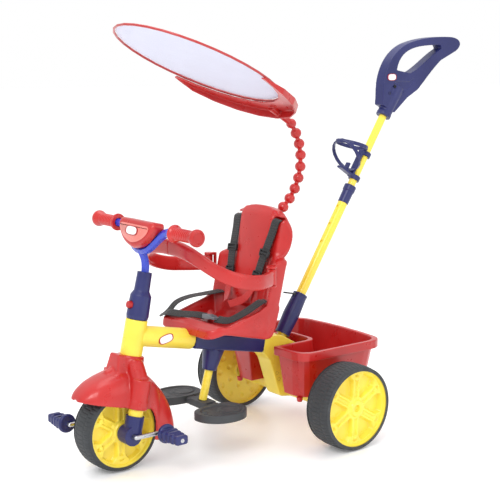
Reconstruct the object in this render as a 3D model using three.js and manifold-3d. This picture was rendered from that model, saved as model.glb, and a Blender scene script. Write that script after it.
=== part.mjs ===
// Children's push-along tricycle: a closed assembly of named, movable pieces.
// Units are millimetres, +Z is up, the trike faces -Y and the rider's left is +X.
// Every piece is first laid out with the front axle at y = 0 and the ground at z = 0;
// the last lines move the whole assembly so that its origin is under its middle.

import * as THREE from 'three';
import { mergeVertices } from 'three/addons/utils/BufferGeometryUtils.js';
import Module from 'manifold-3d';

const wasm = await Module();
wasm.setup();

const DEG = Math.PI / 180;
const ACROSS = new THREE.Vector3(1, 0, 0);

// ---------------------------------------------------------------- driving sizes
const GAP = 0.3;                 // between faces that touch on the real object
const WHEELBASE = 485;           // front axle to rear axle

const FRONT_R = 89.5;            // front tyre radius
const FRONT_HALF = 33.5;         // half width of the front tyre
const FRONT_RIM_R = 78.5;
const REAR_R = 98.3;             // rear tyre radius
const REAR_HALF = 35.5;          // half width of a rear tyre
const REAR_RIM_R = 88.8;
const TRACK = 418;               // between the middles of the rear tyres
const AXLE_R = 5;                // both steel axles

const HEAD_TILT = 12.5;          // the steering axis leans back, in degrees
const FORK_OFFSET = 6;           // the steering axis passes this far behind the front axle
const HEAD_R = 24;               // head tube outside
const HEAD_BORE_R = 20;
const HEAD_LOW = 158;            // head tube ends, measured along the steering axis
const HEAD_HIGH = 239;
const STEERER_R = 11;
const STEERER_TOP = 295;         // end of the fork's steerer inside the collar
const LEG_R = 16;                // fork legs, each side of the wheel
const LEG_CLEAR = 5.5;           // between a leg and the front tyre
const LEG_X = FRONT_HALF + LEG_CLEAR + LEG_R;
const CROWN_Z = 98;              // underside of the fork crown
const CROWN_H = 20;
const CROWN_HALF = LEG_X + LEG_R - 2;
const CROWN_DEEP = 14;

const TUBE_R = 23.3;             // main tube outside
const TUBE_WALL = 3;
const TUBE_DROP = 11.5;          // the main tube slopes down to the rear, in degrees
const TUBE_START = 62;           // y where its centre line meets the head tube
const TUBE_START_Z = 284.5;
const TUBE_END = 197;            // y of the end of the front frame
const CENTRE_END = WHEELBASE - 94;   // y of the end of the centre frame
const CENTRE_W = 50;             // centre frame section
const CENTRE_H = 38;
const SPIGOT = 32;               // how far one frame piece plugs into the next

const POLE_LEAN = 32.5;          // push bar leans back, in degrees
const POLE_Y = WHEELBASE - 25;   // where its axis meets the top of the rear frame
const POLE_Z = 222;
const LOWER_POLE_R = 12;
const UPPER_POLE_R = 9.6;
const POLE_SOCKET = 62;          // depth of the lower pole in the rear frame
const SLEEVE_LEN = 114;
const SLEEVE_R = LOWER_POLE_R + 8;
const COLLAR_LOW = 361;          // pole collar, measured along the push bar
const COLLAR_LEN = 48;
const COLLAR_R = LOWER_POLE_R + 1.6;
const UPPER_SHOWS_TO = 620;      // top of the bare upper pole
const HANDLE_W = 30;             // thickness of the push handle, across the trike
const HANDLE_FROM = [460, 222];  // y and z of the push bar's foot in the handle's outline

const HOUSING_R = 22.5;          // transverse axle housing
const HOUSING_HALF = 158;        // half length of that housing

const BIN_HALF = 153;            // half width of the bin's rim
const BIN_FRONT = WHEELBASE - 88;
const BIN_BACK = WHEELBASE + 177;
const BIN_TOP = 218;
const BIN_BOTTOM = 106;
const BIN_WALL = 3;
const BIN_TAPER = 16;            // how far the walls lean in from rim to floor
const NOTCH_HALF = 52;           // notch in the bin's front for the rear frame
const NOTCH_DEPTH = 121;

const SEAT_TOP = 544;            // height of the top of the seat back
const SEAT_HEAD_HALF = 100;
const SEAT_PAN_HALF = 104;
const SEAT_FRONT = 182;
const SEAT_REAR = 350;
const SEAT_RECLINE = 13;
const SEAT_SHELL = 22;
const SEAT_PAN_T = 20;

const RING_Z = 417;              // top of the safety ring beside the child
const RING_H = 34;
const RING_T = 12;
const RING_HINGE_X = 118;
const RING_HINGE_Y = 335;
const RING_FRONT = 140;          // inside of the ring's front
const RING_FRONT_Z = 486;        // top of the ring's front

const CANOPY_HALF = 165;         // half width of the canopy hoop
const CANOPY_LONG = 204;         // half length of the canopy hoop
const CANOPY_Y = 226;
const CANOPY_Z = 861;
const CANOPY_TILT = 23.6;        // the front of the canopy is raised
const HOOP_R = 3;
const FABRIC_T = 2.4;

const BEADS = 8;
const BEAD_R = 12.4;
const BALL_R = 6;                // ball inside each bead's socket
const SOCKET_GAP = 1;            // around that ball
const NECK_ARC_R = 137;          // the neck is an arc of this radius
const NECK_Y = 381;              // centre of that arc
const NECK_Z = 640;
const NECK_START = -52;          // angle of the lowest bead, in degrees
const NECK_STEP = 11.3;

const PAD_Z = 102;               // middle of the folding footrests
const PAD_T = 18;
const PAD_HINGE_X = 36;
const POST_R = 9.5;

const GRIP_X = 107;              // inner end of a grip
const GRIP_END = 189;
const BAR_R = 9.5;
const BAR_Z = 436;               // handlebar height along the steering axis
const BAR_DIP_Z = 387;           // lowest part of the handlebar
const BAR_Y = -12;               // handlebar plane, ahead of the steering axis

const POST_TOP = [0, 256, 206];  // top of the footrest post, under the centre frame
const POST_LEAN = 15;            // it leans forward going down, in degrees
const POST_SOCKET_LEN = 30;      // how much of it the centre frame holds
const POST_LEN = 104;

const WHEEL_SIDES = 24;          // facets round a wheel; it stands on one of them
const CRANK_LEN = 66;
const PEDAL_IN = LEG_X + LEG_R + 19; // inner and outer ends of a pedal
const PEDAL_OUT = PEDAL_IN + 66;
const SPINDLE_R = 4;

const BUTTON_R = 8.5;
const BUTTON_TRAVEL = 3;
const BUTTON_Z = HEAD_HIGH + 30;
const COLLAR_TOP = HEAD_HIGH + 103;// top of the steering collar
const STEM_FOOT = HEAD_HIGH + 60;         // where the handlebar's stem starts inside the collar
const STEM_GAP = 0.8;            // round the stem in the collar

const BACK_FOOT_Z = 300;         // height where the seat back's own frame starts
const WING_T = 11;                // thickness of the seat's side wings
const EAR_TOP = 126;             // the seat's ears, measured up the back
const SLOT_X = 72;               // strap slots, each side of the middle
const STRAP_T = 2.4;
const STRAP_W = 22;

const RING_PLATE = 12;           // thickness of the ring hinge's plates
const RING_PIN_R = 4;
const RING_SPINE_Y = RING_HINGE_Y + 16;

const LEVER_Y = -LOWER_POLE_R - 5.5;
const LEVER_Z = SLEEVE_LEN - 8;
const LEVER_HALF = 4;
const UPPER_POLE_LOW = 150;      // lower end of the upper pole, inside the lower one
const UPPER_WALL = 1.5;
const UPPER_POLE_TOP = UPPER_SHOWS_TO + 26;

const CUP_LOW = 431;             // lower clip of the bottle cage on the upper pole
const CUP_HIGH = 497;
const CUP_R = 37;                // inside of the bottle cage
const CUP_WALL = 3.6;

const PAD_BARREL = 8;            // half length of a pad's hinge barrel
const PAD_EAR_R = 7;
const PAD_PIN_R = 3;

const BEAD_NECK_R = 3.4;         // radius of the neck between two beads
const BRACKET_ARC = 74;          // the red bracket reaches this far round each side of the rear
const BRACKET_H = 22;
const BRACKET_OUT = 42;          // how far it bulges out behind the hoop

// ---------------------------------------------------------------- materials
const plastic = (color, roughness = 0.42) =>
  new THREE.MeshStandardMaterial({ color, roughness, metalness: 0 });
const metal = (color, roughness = 0.3) =>
  new THREE.MeshStandardMaterial({ color, roughness, metalness: 0.9 });
const RED = 0xc8342c;
const YELLOW = 0xf2d23c;
const NAVY = 0x2c3478;
const BLUE = 0x2440b4;
const TYRE = 0x3a3c3c;
const WEBBING = 0x1e2424;
const FABRIC = 0xe8ecf6;
const STEEL = 0xb8bcc0;

// ---------------------------------------------------------------- solid helpers
function toSolid(geometry) {
  const plain = geometry.index ? geometry.toNonIndexed() : geometry.clone();
  plain.deleteAttribute('normal');
  plain.deleteAttribute('uv');
  const merged = mergeVertices(plain, 1e-4);
  const index = Array.from(merged.index.array);
  const kept = [];
  for (let i = 0; i < index.length; i += 3) {
    const [a, b, c] = [index[i], index[i + 1], index[i + 2]];
    if (a !== b && b !== c && a !== c) kept.push(a, b, c);
  }
  return new wasm.Manifold(new wasm.Mesh({
    numProp: 3,
    vertProperties: new Float32Array(merged.attributes.position.array),
    triVerts: new Uint32Array(kept),
  }));
}

function toGeometry(solid) {
  const { vertProperties, triVerts } = solid.getMesh();
  const geometry = new THREE.BufferGeometry();
  geometry.setAttribute('position', new THREE.BufferAttribute(vertProperties, 3));
  geometry.setIndex(new THREE.BufferAttribute(triVerts, 1));
  geometry.computeVertexNormals();
  return geometry;
}

const join = (...parts) => parts.map(asSolid).reduce((a, b) => a.add(b));
const cut = (body, ...tools) => tools.map(asSolid).reduce((a, b) => a.subtract(b), asSolid(body));
const common = (a, b) => asSolid(a).intersect(asSolid(b));
const asSolid = (shape) => (shape.isBufferGeometry ? toSolid(shape) : shape);

function piece(name, shape, material) {
  const mesh = new THREE.Mesh(shape.isBufferGeometry ? shape : toGeometry(shape), material);
  mesh.name = name;
  return mesh;
}

// A round bar between two points.
function bar(from, to, radius, sides = 24, radiusTo = radius) {
  const a = new THREE.Vector3(...from);
  const b = new THREE.Vector3(...to);
  const shape = new THREE.CylinderGeometry(radiusTo, radius, a.distanceTo(b), sides);
  const turn = new THREE.Quaternion().setFromUnitVectors(
    new THREE.Vector3(0, 1, 0), b.clone().sub(a).normalize());
  shape.applyQuaternion(turn);
  const middle = a.add(b).multiplyScalar(0.5);
  return shape.translate(middle.x, middle.y, middle.z);
}

const block = (x0, x1, y0, y1, z0, z1) => new THREE.BoxGeometry(x1 - x0, y1 - y0, z1 - z0)
  .translate((x0 + x1) / 2, (y0 + y1) / 2, (z0 + z1) / 2);

// An outline of [u, v] points, rounded at each corner by the given radius.
function outline(points, radius = 0) {
  const shape = new THREE.Shape();
  const count = points.length;
  const corner = (i) => new THREE.Vector2(...points[(i + count) % count]);
  for (let i = 0; i < count; i += 1) {
    const here = corner(i);
    const back = corner(i - 1).sub(here);
    const ahead = corner(i + 1).sub(here);
    const r = Math.min(radius, back.length() * 0.45, ahead.length() * 0.45);
    const start = here.clone().add(back.setLength(r));
    const end = here.clone().add(ahead.setLength(r));
    if (i === 0) shape.moveTo(start.x, start.y);
    else shape.lineTo(start.x, start.y);
    if (r > 0) shape.quadraticCurveTo(here.x, here.y, end.x, end.y);
  }
  shape.closePath();
  return shape;
}

function ellipse(halfU, halfV, u = 0, v = 0) {
  const shape = new THREE.Shape();
  shape.absellipse(u, v, halfU, halfV, 0, Math.PI * 2);
  return shape;
}

// Extrude an outline drawn in XY upwards, in YZ across X, or in XZ along Y.
function slab(shape, z0, z1, steps = 6) {
  const flat = { depth: z1 - z0, bevelEnabled: false, curveSegments: steps };
  return new THREE.ExtrudeGeometry(shape, flat).translate(0, 0, z0);
}
function sideSlab(shape, x0, x1, steps = 6) {
  const turn = new THREE.Matrix4().makeBasis(
    new THREE.Vector3(0, 1, 0), new THREE.Vector3(0, 0, 1), new THREE.Vector3(1, 0, 0));
  return slab(shape, x0, x1, steps).applyMatrix4(turn);
}
function frontSlab(shape, y0, y1, steps = 6) {
  return slab(shape, -y1, -y0, steps).rotateX(Math.PI / 2);
}

// Six times the volume inside a skin, negative where its faces point inwards.
function signedVolume(position, index) {
  const at = (i) => new THREE.Vector3().fromArray(position, 3 * i);
  let total = 0;
  for (let i = 0; i < index.length; i += 3) {
    total += at(index[i]).dot(at(index[i + 1]).cross(at(index[i + 2])));
  }
  return total;
}

function facingOut(geometry) {
  const index = Array.from(geometry.index.array);
  if (signedVolume(geometry.attributes.position.array, index) < 0) geometry.setIndex(index.reverse());
  geometry.computeVertexNormals();
  return geometry;
}

// A solid of revolution about Z, or about X.
function turned(profile, sides = 32) {
  const points = profile.map(([r, z]) => new THREE.Vector2(r, z));
  return facingOut(new THREE.LatheGeometry(points, sides).rotateX(Math.PI / 2));
}
const turnedX = (profile, sides = 32) => turned(profile, sides).rotateY(Math.PI / 2);

// A section swept along a smooth path.
function swept(points, section, steps) {
  const path = new THREE.CatmullRomCurve3(points.map((p) => new THREE.Vector3(...p)), false, 'centripetal');
  return new THREE.ExtrudeGeometry(section, { steps, extrudePath: path, curveSegments: 3 });
}

// ---------------------------------------------------------------- shared places
const sin = (degrees) => Math.sin(degrees * DEG);
const cos = (degrees) => Math.cos(degrees * DEG);

// Height of the main tube's centre line at a given y.
const tubeZ = (y) => TUBE_START_Z - (y - TUBE_START) * Math.tan(TUBE_DROP * DEG);

// Steering frame: origin at the front axle, z along the steering axis.
function steeringFrame() {
  const frame = new THREE.Group();
  frame.position.set(0, 0, FRONT_R);
  frame.rotation.x = -HEAD_TILT * DEG;
  return frame;
}

// Push bar frame: z along the push bar, starting on top of the rear frame.
function poleFrame() {
  const frame = new THREE.Group();
  frame.position.set(0, POLE_Y, POLE_Z);
  frame.rotation.x = -POLE_LEAN * DEG;
  return frame;
}

const inSteering = (shape) => shape.rotateX(-HEAD_TILT * DEG).translate(0, 0, FRONT_R);
const inPole = (shape) => shape.rotateX(-POLE_LEAN * DEG).translate(0, POLE_Y, POLE_Z);

// ---------------------------------------------------------------- frame pieces
function frontFrame() {
  const head = inSteering(bar([0, FORK_OFFSET, HEAD_LOW], [0, FORK_OFFSET, HEAD_HIGH], HEAD_R, 24));
  const headBore = inSteering(
    bar([0, FORK_OFFSET, HEAD_LOW - 1], [0, FORK_OFFSET, HEAD_HIGH + 1], HEAD_BORE_R, 20));
  const start = [0, TUBE_START, tubeZ(TUBE_START)];
  const tube = bar(start, [0, TUBE_END, tubeZ(TUBE_END)], TUBE_R, 24);
  const boreStart = TUBE_END - SPIGOT - 8;
  const tubeBore = bar([0, boreStart, tubeZ(boreStart)], [0, TUBE_END + 1, tubeZ(TUBE_END + 1)],
    TUBE_R - TUBE_WALL, 20);
  return piece('front_frame', cut(join(head, tube), headBore, tubeBore), plastic(YELLOW, 0.38));
}

// Where the footrest post meets the centre frame, and the way it points down.
const postPoint = (down) => [0, POST_TOP[1] - down * sin(POST_LEAN), POST_TOP[2] - down * cos(POST_LEAN)];

function centreFrame() {
  const length = (CENTRE_END - TUBE_END) / cos(TUBE_DROP);
  const section = outline([[-CENTRE_W / 2, -CENTRE_H / 2], [CENTRE_W / 2, -CENTRE_H / 2],
    [CENTRE_W / 2, CENTRE_H / 2], [-CENTRE_W / 2, CENTRE_H / 2]], 7);
  const beam = frontSlab(section, GAP, length - GAP, 3).rotateX(-TUBE_DROP * DEG)
    .translate(0, TUBE_END, tubeZ(TUBE_END));
  const spigotR = TUBE_R - TUBE_WALL - GAP;
  const spigot = bar([0, TUBE_END - SPIGOT, tubeZ(TUBE_END - SPIGOT)],
    [0, TUBE_END + 20, tubeZ(TUBE_END + 20)], Math.min(spigotR, CENTRE_H / 2), 24);
  const socket = bar(postPoint(-18), postPoint(POST_SOCKET_LEN), 25, 24, 16);
  const bore = bar(postPoint(-10), postPoint(POST_SOCKET_LEN + 1), POST_R + GAP, 24);
  return piece('centre_frame', cut(join(beam, spigot, socket), bore), plastic(NAVY));
}

function rearFrame() {
  const endZ = tubeZ(CENTRE_END);
  const [leanY, leanZ] = [sin(TUBE_DROP) * CENTRE_H / 2, cos(TUBE_DROP) * CENTRE_H / 2];
  const profile = outline([
    [CENTRE_END + leanY, endZ + leanZ], [CENTRE_END - leanY, endZ - leanZ],
    [CENTRE_END + 16, endZ - 38], [WHEELBASE - 46, REAR_R - 14],
    [WHEELBASE, REAR_R - HOUSING_R + 2], [WHEELBASE + 14, REAR_R],
    [WHEELBASE + 6, 180], [WHEELBASE + 12, 203], [POLE_Y + 20, 212], [POLE_Y - 18, 234],
  ], 9);
  const web = sideSlab(profile, -24, 24, 3);
  const housing = bar([-HOUSING_HALF, WHEELBASE, REAR_R], [HOUSING_HALF, WHEELBASE, REAR_R], HOUSING_R, 28);
  const axleBore = bar([-HOUSING_HALF - 1, WHEELBASE, REAR_R], [HOUSING_HALF + 1, WHEELBASE, REAR_R],
    AXLE_R + GAP, 16);
  const poleSocket = inPole(bar([0, 0, -POLE_SOCKET - GAP], [0, 0, 60], LOWER_POLE_R + GAP, 20));
  return piece('rear_frame', cut(join(web, housing), axleBore, poleSocket), plastic(YELLOW));
}

function rearAxle() {
  const half = TRACK / 2 + REAR_HALF - 12;
  const rod = bar([-half, WHEELBASE, REAR_R], [half, WHEELBASE, REAR_R], AXLE_R, 16);
  return piece('rear_axle', rod, metal(STEEL));
}

// A flanged bush between the axle housing and the wheel; side is +1 or -1.
function axleBush(name, side) {
  const from = HOUSING_HALF + GAP;
  const to = TRACK / 2 - REAR_HALF - 1.5;
  const ring = [[AXLE_R + GAP, from], [20, from], [20, to - 3], [14, to], [AXLE_R + GAP, to],
    [AXLE_R + GAP, from]];
  const shape = turnedX(side > 0 ? ring : ring.map(([r, x]) => [r, -x]), 24)
    .translate(0, WHEELBASE, REAR_R);
  return piece(name, shape, plastic(NAVY));
}

// ---------------------------------------------------------------- wheels

function tyre(name, radius, half, rimR) {
  const seat = rimR + GAP;
  const profile = [[seat, -half + 4], [seat, half - 4], [seat + 1.5, half], [radius - 6, half],
    [radius - 1, half - 7], [radius, half - 14], [radius, -half + 14], [radius - 1, -half + 7],
    [radius - 6, -half], [seat + 1.5, -half], [seat, -half + 4]];
  return piece(name, turnedX(profile, WHEEL_SIDES), plastic(TYRE, 0.85));
}

// A dished rim with six raised spokes on its outer face, a hub and a round bore.
function rim(name, rimR, half, boreR) {
  const lip = rimR - 6;
  const dish = half - 11;
  const hub = 26;
  const profile = [[boreR, -half + 2], [hub, -half + 2], [hub + 3, -dish], [lip - 2, -dish],
    [lip, -half], [rimR, -half], [rimR, half], [lip, half], [lip - 2, dish], [hub + 3, dish],
    [hub, half], [boreR, half], [boreR, -half + 2]];
  let body = asSolid(turnedX(profile, WHEEL_SIDES));
  const spokeHalf = 12;
  for (let i = 0; i < 6; i += 1) {
    const spoke = block(dish - 2, half - 4, -spokeHalf, spokeHalf, hub - 3, lip + 2);
    body = body.add(asSolid(spoke.rotateX(i * 60 * DEG)));
  }
  return piece(name, body, plastic(YELLOW));
}

// A wheel standing on the middle of one of its flat facets.
function wheelAt(x, y, z, ...parts) {
  const group = new THREE.Group();
  group.position.set(x, y, z);
  group.rotation.x = 180 / WHEEL_SIDES * DEG;
  group.add(...parts);
  return group;
}

// ---------------------------------------------------------------- fork and fender
function fork() {
  const crown = block(-CROWN_HALF, CROWN_HALF, FORK_OFFSET - CROWN_DEEP, FORK_OFFSET + CROWN_DEEP,
    CROWN_Z, CROWN_Z + CROWN_H);
  const legs = [-1, 1].map((side) => bar([side * LEG_X, FORK_OFFSET, 22],
    [side * LEG_X, FORK_OFFSET, CROWN_Z + 1], LEG_R, 16));
  const steerer = bar([0, FORK_OFFSET, CROWN_Z + 2], [0, FORK_OFFSET, STEERER_TOP], STEERER_R, 20);
  return piece('fork', join(crown, ...legs, steerer), plastic(YELLOW));
}

// The bearing block that plugs on a fork leg and holds the front axle.
function forkEnd(name, side) {
  const x = side * LEG_X;
  const socket = bar([x, FORK_OFFSET, -4], [x, FORK_OFFSET, 42], LEG_R + 4, 16);
  const boss = bar([x - 17, 0, 0], [x + 17, 0, 0], 21, 24);
  const legBore = bar([x, FORK_OFFSET, 22 - GAP], [x, FORK_OFFSET, 43], LEG_R + GAP, 16);
  const axleBore = bar([x - 25, 0, 0], [x + 25, 0, 0], AXLE_R + GAP, 16);
  return piece(name, cut(join(socket, boss), legBore, axleBore), plastic(NAVY));
}

// Side view of the fender, grown by a margin for its outside and inside.
function fenderProfile(grow, wheelRoomR, skirt) {
  const shape = new THREE.Shape();
  shape.moveTo(-112 - grow, skirt);
  shape.lineTo(-113 - grow, 63 + grow);
  shape.bezierCurveTo(-98, 92 + grow, -66, 110 + grow, -30, 126 + grow);
  shape.lineTo(38, 126 + grow);
  shape.bezierCurveTo(70 + grow, 108 + grow, 108 + grow, 84, 121 + grow, 36);
  shape.lineTo(121 + grow, 14 + grow);
  shape.lineTo(104 + grow / 2, -12 - grow);
  shape.absarc(0, 0, wheelRoomR, -5 * DEG, Math.asin(skirt / wheelRoomR), false);
  shape.closePath();
  return shape;
}

// Plan of the fender, a rounded nose at each end.
function fenderPlan(grow) {
  const shape = new THREE.Shape();
  shape.moveTo(0, -116 - grow);
  shape.bezierCurveTo(22 + grow, -110 - grow, 46 + grow, -84, 54 + grow, -34);
  shape.lineTo(56 + grow, 52);
  shape.bezierCurveTo(50 + grow, 90, 44 + grow, 112, 34 + grow, 126 + grow);
  shape.lineTo(-34 - grow, 126 + grow);
  shape.bezierCurveTo(-44 - grow, 112, -50 - grow, 90, -56 - grow, 52);
  shape.lineTo(-54 - grow, -34);
  shape.bezierCurveTo(-46 - grow, -84, -22 - grow, -110 - grow, 0, -116 - grow);
  return shape;
}

function frontFender() {
  const wall = 3;
  const shellAt = (grow, roomR, skirt, z0, z1) => common(
    sideSlab(fenderProfile(grow, roomR, skirt), -90, 90, 3), slab(fenderPlan(grow), z0, z1, 3));
  const outer = shellAt(0, FRONT_RIM_R + 2.5, 58, -30, 140);
  const hollow = shellAt(-wall, FRONT_RIM_R - 4, 45, -40, 150);
  const wheelRoom = bar([-40, 0, 0], [40, 0, 0], FRONT_R + 6, WHEEL_SIDES);
  const down = (x, z0, z1, r, sides, rTop = r) =>
    bar([x, FORK_OFFSET, z0], [x, FORK_OFFSET, z1], r, sides, rTop);
  const covers = [-1, 1].map((side) => down(side * LEG_X, 56, 122, LEG_R + 5.5, 16));
  const legRoom = [-1, 1].map((side) => down(side * LEG_X, 50, CROWN_Z + 3, LEG_R + GAP, 16));
  const crownRoom = block(-CROWN_HALF - GAP, CROWN_HALF + GAP,
    FORK_OFFSET - CROWN_DEEP - GAP, FORK_OFFSET + CROWN_DEEP + GAP, CROWN_Z - 6, CROWN_Z + CROWN_H + GAP);
  const collar = down(0, 118, HEAD_LOW + 4, 38, 24, 33);
  const steererRoom = down(0, 110, HEAD_LOW + 1, STEERER_R + 1, 16);
  const headRoom = down(0, HEAD_LOW - 1, HEAD_LOW + 6, HEAD_R + 1, 24);
  const shell = join(cut(outer, hollow), ...covers, collar);
  const rooms = [wheelRoom, ...legRoom, crownRoom, steererRoom, headRoom];
  return piece('front_fender', cut(shell, ...rooms), plastic(RED));
}


// One bent steel rod: axle, two opposed arms and two pedal spindles.
function crank() {
  const elbow = LEG_X + LEG_R + 10;
  const half = [[elbow, 0], [elbow + 1, CRANK_LEN], [PEDAL_OUT - 6, CRANK_LEN]];
  const rods = [bar([-elbow, 0, 0], [elbow, 0, 0], AXLE_R, 16)];
  for (const side of [-1, 1]) {
    const [a, b, c] = half.map(([x, y]) => [side * x, side * y, 0]);
    rods.push(bar(a, b, AXLE_R, 12), bar(b, c, SPINDLE_R, 12));
    rods.push(new THREE.SphereGeometry(AXLE_R, 10, 5).translate(...a));
    rods.push(new THREE.SphereGeometry(AXLE_R, 10, 5).translate(...b));
  }
  return piece('crank_axle', join(...rods), metal(STEEL));
}

function pedal(name) {
  const flange = bar([PEDAL_IN, 0, 0], [PEDAL_IN + 11, 0, 0], 21, 24);
  const tread = outline([[-19, -11], [19, -11], [19, 11], [-19, 11]], 7);
  const body = sideSlab(tread, PEDAL_IN + 8, PEDAL_OUT, 3);
  const bore = bar([PEDAL_IN - 1, 0, 0], [PEDAL_OUT - 5, 0, 0], SPINDLE_R + GAP, 16);
  return piece(name, cut(join(flange, body), bore), plastic(NAVY));
}

// ---------------------------------------------------------------- handlebar
function steeringCollar() {
  const low = HEAD_HIGH + GAP;
  const profile = [[0, low], [23, low], [24.5, low + 8], [23, low + 52], [17, low + 62], [16, COLLAR_TOP],
    [0, COLLAR_TOP]];
  const down = (z0, z1, r, sides = 16) => bar([0, FORK_OFFSET, z0], [0, FORK_OFFSET, z1], r, sides);
  const forkBore = down(low - 1, STEERER_TOP + GAP, STEERER_R + GAP);
  const barBore = down(STEM_FOOT - 2, COLLAR_TOP + 1, BAR_R + STEM_GAP);
  const link = down(STEERER_TOP - 6, STEM_FOOT, 7, 12);
  const buttonBack = FORK_OFFSET - STEERER_R - 4;
  const buttonBore = bar([0, -30, BUTTON_Z], [0, buttonBack, BUTTON_Z], BUTTON_R + GAP, 20);
  const body = turned(profile, 24).translate(0, FORK_OFFSET, 0);
  return piece('steering_collar', cut(body, forkBore, barBore, link, buttonBore), plastic(NAVY));
}


function steeringButton() {
  const front = FORK_OFFSET - 25 - BUTTON_TRAVEL - 1.5;
  const back = FORK_OFFSET - STEERER_R - 4.6 - BUTTON_TRAVEL;
  const plunger = bar([0, front, BUTTON_Z], [0, back, BUTTON_Z], BUTTON_R - 1, 20, BUTTON_R);
  return piece('steering_button', plunger, plastic(RED));
}

// The handlebar's centre line, in the steering frame.
function barPath() {
  const half = [[26, BAR_DIP_Z + 6], [58, BAR_Z - 17], [84, BAR_Z - 1], [GRIP_X, BAR_Z],
    [GRIP_END - 6, BAR_Z]];
  const onSide = (side) => half.map(([x, z]) => [side * x, BAR_Y, z]);
  return [...onSide(-1).reverse(), [0, BAR_Y, BAR_DIP_Z], ...onSide(1)];
}

function handlebar() {
  const cross = swept(barPath(), ellipse(BAR_R, BAR_R), 30);
  const stem = swept([[0, FORK_OFFSET, STEM_FOOT], [0, FORK_OFFSET, COLLAR_TOP - 18],
    [0, FORK_OFFSET, COLLAR_TOP + 5], [0, 0, BAR_DIP_Z - 18], [0, BAR_Y, BAR_DIP_Z]],
  ellipse(BAR_R, BAR_R), 12);
  return piece('handlebar', join(cross, stem), plastic(BLUE, 0.3));
}

function grip(name, side) {
  const [flange, hold, knob] = [19, 12.6, 18];
  const bore = BAR_R + GAP;
  const profile = [[bore, GRIP_X], [flange - 2, GRIP_X], [flange, GRIP_X + 4], [flange - 3, GRIP_X + 9],
    [hold, GRIP_X + 14], [hold, GRIP_END - 16], [knob - 1, GRIP_END - 7], [knob, GRIP_END + 1],
    [11, GRIP_END + 6], [0, GRIP_END + 6], [0, GRIP_END - 5], [bore, GRIP_END - 5], [bore, GRIP_X]];
  const shape = turnedX(side > 0 ? profile : profile.map(([r, x]) => [r, -x]), 20);
  return piece(name, shape.translate(0, BAR_Y, BAR_Z), plastic(RED, 0.5));
}

// The shield between the grips, clipped on the front of the handlebar.
function consoleShield() {
  const shield = outline([[-62, BAR_Z + 15], [62, BAR_Z + 15], [66, BAR_Z], [36, BAR_DIP_Z + 14],
    [0, BAR_DIP_Z + 3], [-36, BAR_DIP_Z + 14], [-66, BAR_Z]], 14);
  const nose = frontSlab(shield, -40, BAR_Y + 4, 4);
  const hollow = outline([[-56, BAR_Z + 18], [56, BAR_Z + 18], [30, BAR_DIP_Z + 22],
    [-30, BAR_DIP_Z + 22]], 6);
  const inside = frontSlab(hollow, -36, BAR_Y + 6, 3);
  const room = swept(barPath(), ellipse(BAR_R + 1, BAR_R + 1), 30);
  return piece('handlebar_console', cut(nose, inside, room), plastic(RED));
}

// ---------------------------------------------------------------- seat and harness
// Seat frame: y runs along the pan from its front, z is up from its underside.
const PAN_Z = tubeZ(SEAT_FRONT) + TUBE_R / cos(TUBE_DROP) + GAP;
const RAIL_DROP = TUBE_R - CENTRE_H / 2;   // the seat's rail reaches down to the centre frame
const inPan = (shape) => shape.rotateX(-TUBE_DROP * DEG).translate(0, SEAT_FRONT, PAN_Z);
const inBack = (shape) => shape.rotateX(-SEAT_RECLINE * DEG).translate(0, SEAT_REAR - 10, BACK_FOOT_Z);
const BACK_LEN = (SEAT_TOP - BACK_FOOT_Z) / cos(SEAT_RECLINE);
const SLOT_Z = BACK_LEN - 28;

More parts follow.
